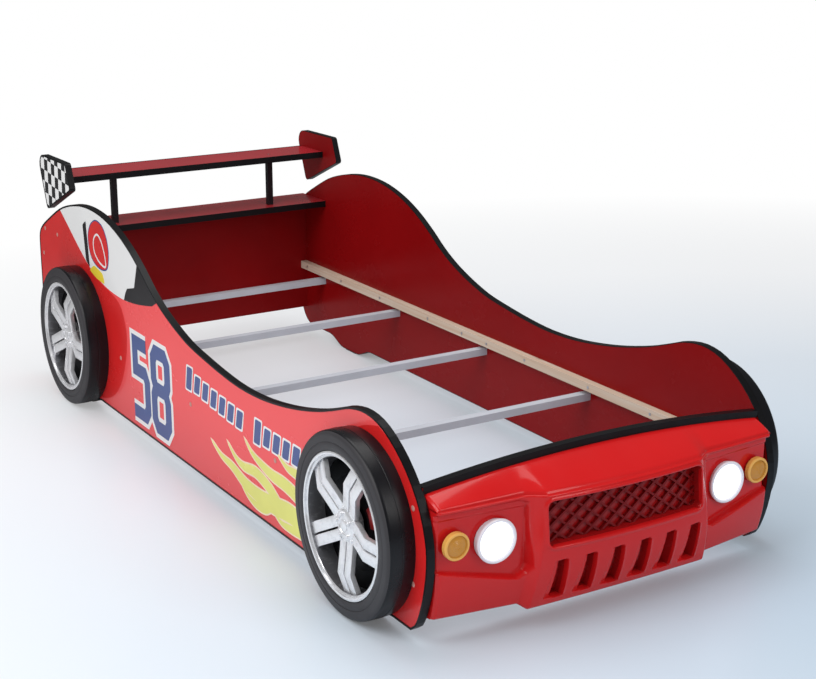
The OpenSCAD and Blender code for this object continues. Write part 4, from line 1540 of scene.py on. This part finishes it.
@dataclass
class CarWheel:
    """One moulded wheel: tyre, bright rim with five double spokes, hub and brake."""

    place: str
    side: Side
    spokes: int = 5
    start: float = 64.0
    bar_w: float = 0.0262
    groove: float = 0.0042
    bar_thick: float = 0.013
    bar_taper: float = 0.0015
    bar_round: float = 0.0012
    rim_r: float = 0.1660
    nut_circle: float = 0.0275
    finger_circle: float = 0.040
    dish: float = 0.0182
    caliper_in: float = 0.078
    caliper_out: float = 0.108
    caliper_height: float = 0.014
    caliper_round: float = 0.003

    def build(self) -> None:
        """Builds the tyre, rim, spokes, hub and brake."""
        low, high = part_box(f"tyre_{self.place}_{self.side.tag}")
        self.radius = (high.z - low.z) / 2
        self.base_x = min(abs(low.x), abs(high.x))
        self.depth = max(abs(low.x), abs(high.x)) - self.base_x
        self.out = Vector((self.side.value, 0, 0))
        self.centre = Vector(
            (self.side.value * self.base_x, (low.y + high.y) / 2, (low.z + high.z) / 2))
        self.tyre()
        self.rim()
        self.hub()
        self.brake()

    def tag(self, part: str) -> str:
        """Gives the name of one of the wheel's pieces."""
        return f"{part}_{self.place}_{self.side.tag}"

    def tyre(self) -> None:
        """Builds the tyre moulding with its black dish."""
        r, d = self.radius, self.depth
        arc = [(r - 0.012 + 0.0115 * math.cos(a), d - 0.012 + 0.0115 * math.sin(a))
               for a in [math.radians(v) for v in (0, 18, 36, 54, 72, 90)]]
        tread = [(r - 0.0015, 0.0), (r - 0.0004, 0.018), (r, 0.026), (r, 0.0300),
                 (r - 0.0008, 0.0308), (r - 0.0008, 0.0322), (r, 0.0330)]
        wall = [(r - 0.024, d - 0.0002), (r - 0.0255, d - 0.0016), (r - 0.028, d - 0.0006),
                (0.1700, d), (0.1670, d - 0.002), (self.rim_r, d - 0.008), (0.1640, 0.018),
                (0.0, 0.018)]
        inner = [(0.0, 0.015), (0.160, 0.015), (0.160, 0.004), (r - 0.006, 0.0), (r - 0.0015, 0.0)]
        profile = tread + arc + wall + inner
        numbers = []
        for (r0, d0), (r1, d1) in zip(profile, profile[1:]):
            middle_r, middle_d = (r0 + r1) / 2, (d0 + d1) / 2
            if middle_r > r - 0.008 and middle_d < d - 0.006:
                numbers.append(1)
            # The tyre's face takes the grey of the painted sheen.
            elif middle_r > self.rim_r:
                numbers.append(0)
            else:
                numbers.append(2)
        bm = bmesh.new()
        lathe(bm, profile, self.centre, self.out, numbers)
        finish_piece(
            self.tag("wheel_tyre"), bm, [SIDEWALL_PAINTED_SHEEN, TREAD, DISH],
            stands_for=[f"tyre_{self.place}_{self.side.tag}"], angle=40.0)

    def rim(self) -> None:
        """Builds the bright ring, the barrel and the spokes."""
        d = self.depth
        profile = [
            (0.1655, d - 0.006), (0.1650, d - 0.0012), (0.1620, d), (0.1585, d - 0.0010),
            (0.1570, d - 0.006), (0.1555, d - 0.0068), (0.1540, d - 0.0055), (0.1525, d - 0.007),
            (0.1505, d - 0.020), (0.1490, 0.0185), (0.1625, 0.0185), (0.1655, d - 0.006),
        ]
        # The barrel inside the bright ring takes the darker foil, as painted shade.
        numbers = [0, 0, 0, 0, 0, 0, 0, 1, 1, 1, 1]
        bm = bmesh.new()
        lathe(bm, profile, self.centre, self.out, numbers)
        for i in range(self.spokes):
            angle = math.radians(self.start + i * 360 / self.spokes)
            for sign in (-1, 1):
                self.spoke_bar(bm, angle, sign)
        finish_piece(
            self.tag("wheel_rim"), bm, [BRIGHT, BRIGHT_FOIL_PAINTED_SHADE],
            stands_for=[f"rim_{self.place}_{self.side.tag}"], angle=25.0)

    def spoke_bar(self, bm: bmesh.types.BMesh, angle: float, sign: int) -> None:
        """Adds one bar of a spoke, which rises to a ridge and falls to the rim.

        Args:
            bm: The rim's mesh.
            angle: The spoke's direction, from the front of the bed upwards, in radians.
            sign: Which of the spoke's two bars it is.
        """
        along = Vector((0, -math.cos(angle), math.sin(angle)))
        across = along.cross(self.out).normalized()
        offset = sign * (self.bar_w + self.groove) / 2
        top = self.depth - 0.0008
        stations = [(0.030, top - 0.016), (0.062, top - 0.010), (0.106, top), (0.1525, top - 0.012)]
        part = bmesh.new()
        half = self.bar_w / 2
        foot = half - self.bar_taper
        corners = ((-half, 0.0), (half, 0.0), (foot, -self.bar_thick), (-foot, -self.bar_thick))
        rows = []
        for r, depth in stations:
            spot = self.centre + along * r
            rows.append([
                part.verts.new(spot + across * (offset + a) + self.out * (depth + b))
                for a, b in corners])
        part.faces.new(rows[0])
        before = [part.edges.get((a, b)) for a, b in zip(rows[0], rows[0][1:] + rows[0][:1])]
        for row in rows[1:]:
            after = [part.edges.new((a, b)) for a, b in zip(row, row[1:] + row[:1])]
            bmesh.ops.bridge_loops(part, edges=before + after)
            before = after
        part.faces.new(rows[-1][::-1])
        bmesh.ops.recalc_face_normals(part, faces=part.faces)
        front = [e for e in part.edges
                 if all((v.co - self.centre).dot(self.out) > self.depth - 0.024 for v in e.verts)
                 and abs((e.verts[0].co - e.verts[1].co).dot(along)) > 0.02]
        bmesh.ops.bevel(
            part, geom=front, offset=self.bar_round, segments=2, affect="EDGES", profile=0.5, material=-1)
        mesh = bpy.data.meshes.new("bar")
        part.to_mesh(mesh)
        part.free()
        bm.from_mesh(mesh)
        bpy.data.meshes.remove(mesh)

    def hub(self) -> None:
        """Builds the hub with its centre cap and wheel nuts."""
        face = self.depth - 0.0095
        profile = [
            (0.0, face), (0.010, face - 0.0002), (0.0135, face - 0.0015), (0.0145, face - 0.004),
            (0.0200, face - 0.0045), (0.0215, face - 0.0025), (0.0320, face - 0.004),
            (0.0380, face - 0.007), (0.0400, face - 0.014), (0.0400, face - 0.032),
            (0.0, face - 0.032),
        ]
        bm = bmesh.new()
        lathe(bm, profile, self.centre, self.out, steps=60)
        for i in range(self.spokes):
            angle = math.radians(self.start + (i + 0.5) * 360 / self.spokes)
            along = Vector((0, -math.cos(angle), math.sin(angle)))
            nut = [(0.0, face + 0.0035), (0.0030, face + 0.0032), (0.0042, face + 0.002),
                   (0.0046, face - 0.010), (0.0, face - 0.010)]
            lathe(bm, nut, self.centre + along * self.nut_circle, self.out, steps=12)
            finger = [(0.0, face - 0.003), (0.0035, face - 0.0035), (0.0045, face - 0.008),
                      (0.0045, face - 0.028), (0.0, face - 0.028)]
            lathe(bm, finger, self.centre + along * self.finger_circle, self.out, steps=12)
        finish_piece(
            self.tag("wheel_hub"), bm, [BRIGHT], stands_for=[f"hub_cap_{self.place}_{self.side.tag}"],
            angle=30.0)

    def brake(self) -> None:
        """Builds the brake disc and its red caliper, moulded in relief behind the spokes."""
        bm = bmesh.new()
        disc = [(0.050, self.dish), (0.050, 0.0215), (0.054, 0.0230), (0.104, 0.0230),
                (0.107, 0.0215), (0.107, self.dish), (0.050, self.dish)]
        lathe(bm, disc, self.centre, self.out, steps=72)
        finish_piece(self.tag("brake_disc"), bm, [DISH], angle=30.0)
        bm = bmesh.new()
        span = [math.radians(v) for v in range(10, 43, 4)]
        r_in, r_out = self.caliper_in, self.caliper_out
        inner = [(math.cos(a) * r_in, math.sin(a) * r_in) for a in span]
        outer = [(math.cos(a) * r_out, math.sin(a) * r_out) for a in reversed(span)]
        flat = [(self.centre.y - a, self.centre.z + b) for a, b in inner + outer]
        plate(bm, flat, self.side, self.base_x + self.dish, self.caliper_height)
        top = [e for e in bm.edges if all(abs(v.co.x) > self.base_x + 0.031 for v in e.verts)]
        bmesh.ops.bevel(
            bm, geom=top, offset=self.caliper_round, segments=2, affect="EDGES", profile=0.5, material=-1)
        finish_piece(self.tag("brake_caliper"), bm, [CALIPER], angle=35.0)


# ---------------------------------------------------------------- the rest of the bed


@dataclass(frozen=True)
class FrameDressing:
    """The finishes of the frame's own nodes, which keep their shape."""

    pairs: tuple[tuple[str, Gloss], ...] = (
        ("side_panel", CORAL),
        ("panel_edging", EDGING),
        ("wing_post", POST),
        ("wing_end_plate", RED_BOARD_AND_PAINTED_SHADE),
        ("wing_plate_edging", EDGING),
        ("headlight_housing", GREY),
        ("headlight_light_board", BOARD_GREEN),
        ("headlight_battery_pack", BATTERY),
        ("headlight_spring", STEEL),
        ("rail_rear", PINE),
        ("rail_front", PINE),
    )
    singles: tuple[tuple[str, Gloss], ...] = (
        # The headboard and the front board take the deep red that is partly painted shade.
        ("headboard", RED_BOARD_AND_PAINTED_SHADE),
        # The shelf and the wing board take the lighter red with the painted reflection.
        ("shelf", TOP_BOARD_PAINTED_REFLECTION),
        ("shelf_edging", EDGING),
        ("front_board", RED_BOARD_AND_PAINTED_SHADE),
        ("front_board_edging", EDGING),
        ("wing_board", TOP_BOARD_PAINTED_REFLECTION),
        ("wing_edging", EDGING),
        ("bar_end_plugs", GREY),
        ("panel_screws", CAP),
        ("wood_screws", STEEL),
        ("wheel_screws", STEEL),
        ("bumper_screws", STEEL),
        ("foot_glides", GLIDE),
        ("cross_bar_1", BAR_PAINT),
        ("cross_bar_2", BAR_PAINT),
        ("cross_bar_3", BAR_PAINT),
        ("cross_bar_4", BAR_PAINT),
    )

    def build(self) -> None:
        """Gives each node its finish."""
        sided = [(f"{node}_{side.tag}", finish) for node, finish in self.pairs for side in Side]
        for node, finish in (*sided, *self.singles):
            dress(node, finish)
            LOG.info("node %s: %s", node, finish.name)


# ---------------------------------------------------------------- studio


@dataclass
class Studio:
    """Pale floor, soft light and the camera."""

    camera_place: tuple[float, float, float] = (-2.083, -3.665, 1.569)
    heading: float = 31.379
    tilt: float = 15.865
    roll: float = -0.082
    lens: float = 70.27
    shift: tuple[float, float] = (0.0061, -0.0186)
    diffuse_sky: float = 0.66
    glossy_sky: float = 0.12
    floor_middle: tuple[float, float, float] = (0.7, -1.5, 0.0)
    # A darker blue-grey round a spot in front of the bed, which paints in shade on the floor.
    floor_painted_shade: Color = (0.44, 0.56, 0.68)
    floor_far: Color = (0.84, 0.87, 0.91)
    floor_fade: tuple[float, float] = (0.3, 3.0)
    white_fade: tuple[float, float] = (1.8, 4.6)
    white_least: float = 0.10
    floor_half: float = 30.0

    def build(self) -> None:
        """Builds the camera, the floor, the lights and the world."""
        self.camera()
        self.floor()
        self.world()
        self.lights()

    def camera(self) -> None:
        """Places the camera."""
        data = bpy.data.cameras.new("camera")
        data.lens = self.lens
        data.sensor_width = 36.0
        data.shift_x, data.shift_y = self.shift
        data.clip_end = 60.0
        holder = bpy.data.objects.new("camera", data)
        bpy.context.scene.collection.objects.link(holder)
        heading, tilt = math.radians(self.heading), math.radians(self.tilt)
        ahead = Vector((
            math.sin(heading) * math.cos(tilt), math.cos(heading) * math.cos(tilt), -math.sin(tilt)))
        turn = ahead.to_track_quat("-Z", "Y").to_matrix()
        turn = turn @ Matrix.Rotation(math.radians(self.roll), 3, "Z")
        holder.matrix_world = Matrix.Translation(self.camera_place) @ turn.to_4x4()
        bpy.context.scene.camera = holder

    def floor(self) -> None:
        """Lays the floor, darker and bluer round a spot in front of the bed as painted shade, which fades
        into the white of the studio.
        """
        shade = Shade("studio_floor")
        shade.put("Roughness", 0.35).put("Specular IOR Level", 0.35)
        offset = shade.node("ShaderNodeVectorMath", operation="SUBTRACT")
        offset.inputs[1].default_value = self.floor_middle
        shade.link(shade.place, offset.inputs[0])
        flat = shade.node("ShaderNodeVectorMath", operation="LENGTH")
        shade.link(offset.outputs[0], flat.inputs[0])
        far = shade.span(flat.outputs["Value"], *self.floor_fade, 0.0, 1.0)
        shade.paint(shade.ramp(far, ((0.0, self.floor_painted_shade), (1.0, self.floor_far))))
        white = shade.node("ShaderNodeEmission")
        path = shade.node("ShaderNodeLightPath")
        dim = shade.span(path.outputs["Is Glossy Ray"], 0.0, 1.0, 1.0, self.glossy_sky)
        shade.link(dim, white.inputs["Strength"])
        blend = shade.node("ShaderNodeMixShader")
        share = shade.span(flat.outputs["Value"], *self.white_fade, self.white_least, 1.0)
        shade.link(share, blend.inputs[0])
        shade.link(shade.shader.outputs[0], blend.inputs[1])
        shade.link(white.outputs[0], blend.inputs[2])
        shade.link(blend.outputs[0], shade.output.inputs["Surface"])
        bm = bmesh.new()
        bmesh.ops.create_grid(bm, x_segments=1, y_segments=1, size=self.floor_half)
        mesh = bpy.data.meshes.new("studio_floor")
        bm.to_mesh(mesh)
        bm.free()
        mesh.materials.append(shade.material)
        ground = bpy.data.objects.new("studio_floor", mesh)
        bpy.context.scene.collection.objects.link(ground)

    def world(self) -> None:
        """Lights the studio with an even white."""
        world = bpy.data.worlds.new("studio")
        world.use_nodes = True
        tree = world.node_tree
        sky = tree.nodes["Background"]
        sky.inputs["Color"].default_value = (1.0, 1.0, 1.0, 1.0)
        path = tree.nodes.new("ShaderNodeLightPath")
        strength = tree.nodes.new("ShaderNodeMix")
        strength.inputs[2].default_value = self.diffuse_sky
        strength.inputs[3].default_value = self.glossy_sky
        tree.links.new(path.outputs["Is Glossy Ray"], strength.inputs[0])
        seen = tree.nodes.new("ShaderNodeMix")
        seen.inputs[3].default_value = 1.0
        tree.links.new(path.outputs["Is Camera Ray"], seen.inputs[0])
        tree.links.new(strength.outputs[0], seen.inputs[2])
        tree.links.new(seen.outputs[0], sky.inputs["Strength"])
        bpy.context.scene.world = world
        bpy.context.scene.view_settings.view_transform = "Standard"

    def lights(self) -> None:
        """Hangs the soft boxes."""
        self.box("key", (-3.4, -1.2, 3.6), (0.0, 0.0, 0.2), 2.6, 95.0)
        self.box("front", (1.2, -4.6, 2.8), (0.0, -0.8, 0.2), 2.0, 40.0)
        self.box("top", (0.2, 0.6, 4.2), (0.0, 0.2, 0.0), 3.0, 70.0)

    def box(
        self,
        name: str,
        place: tuple[float, float, float],
        target: tuple[float, float, float],
        size: float,
        power: float,
    ) -> None:
        """Hangs one soft box.

        Args:
            name: The light's name.
            place: Where it hangs.
            target: What it looks at.
            size: The length of its side.
            power: Its power, in watts.
        """
        data = bpy.data.lights.new(name, "AREA")
        data.energy = power
        data.shape = "SQUARE"
        data.size = size
        holder = bpy.data.objects.new(name, data)
        bpy.context.scene.collection.objects.link(holder)
        holder.location = place
        toward = Vector(target) - Vector(place)
        holder.rotation_mode = "QUATERNION"
        holder.rotation_quaternion = toward.to_track_quat("-Z", "Y")


def main() -> None:
    """Builds the studio and the bed's sub-assemblies in order."""
    logging.basicConfig(level=logging.INFO, format="%(name)s %(message)s")
    parts: list[object] = [Studio(), FrameDressing()]
    for side in Side:
        parts += [PanelPrint(side), EndPlatePrint(side), Headlight(side), Indicator(side)]
        parts += [CarWheel("front", side), CarWheel("rear", side)]
    parts.append(Bumper())
    for part in parts:
        part.build()
        LOG.info("built %s", type(part).__name__)


if __name__ == "__main__":
    main()
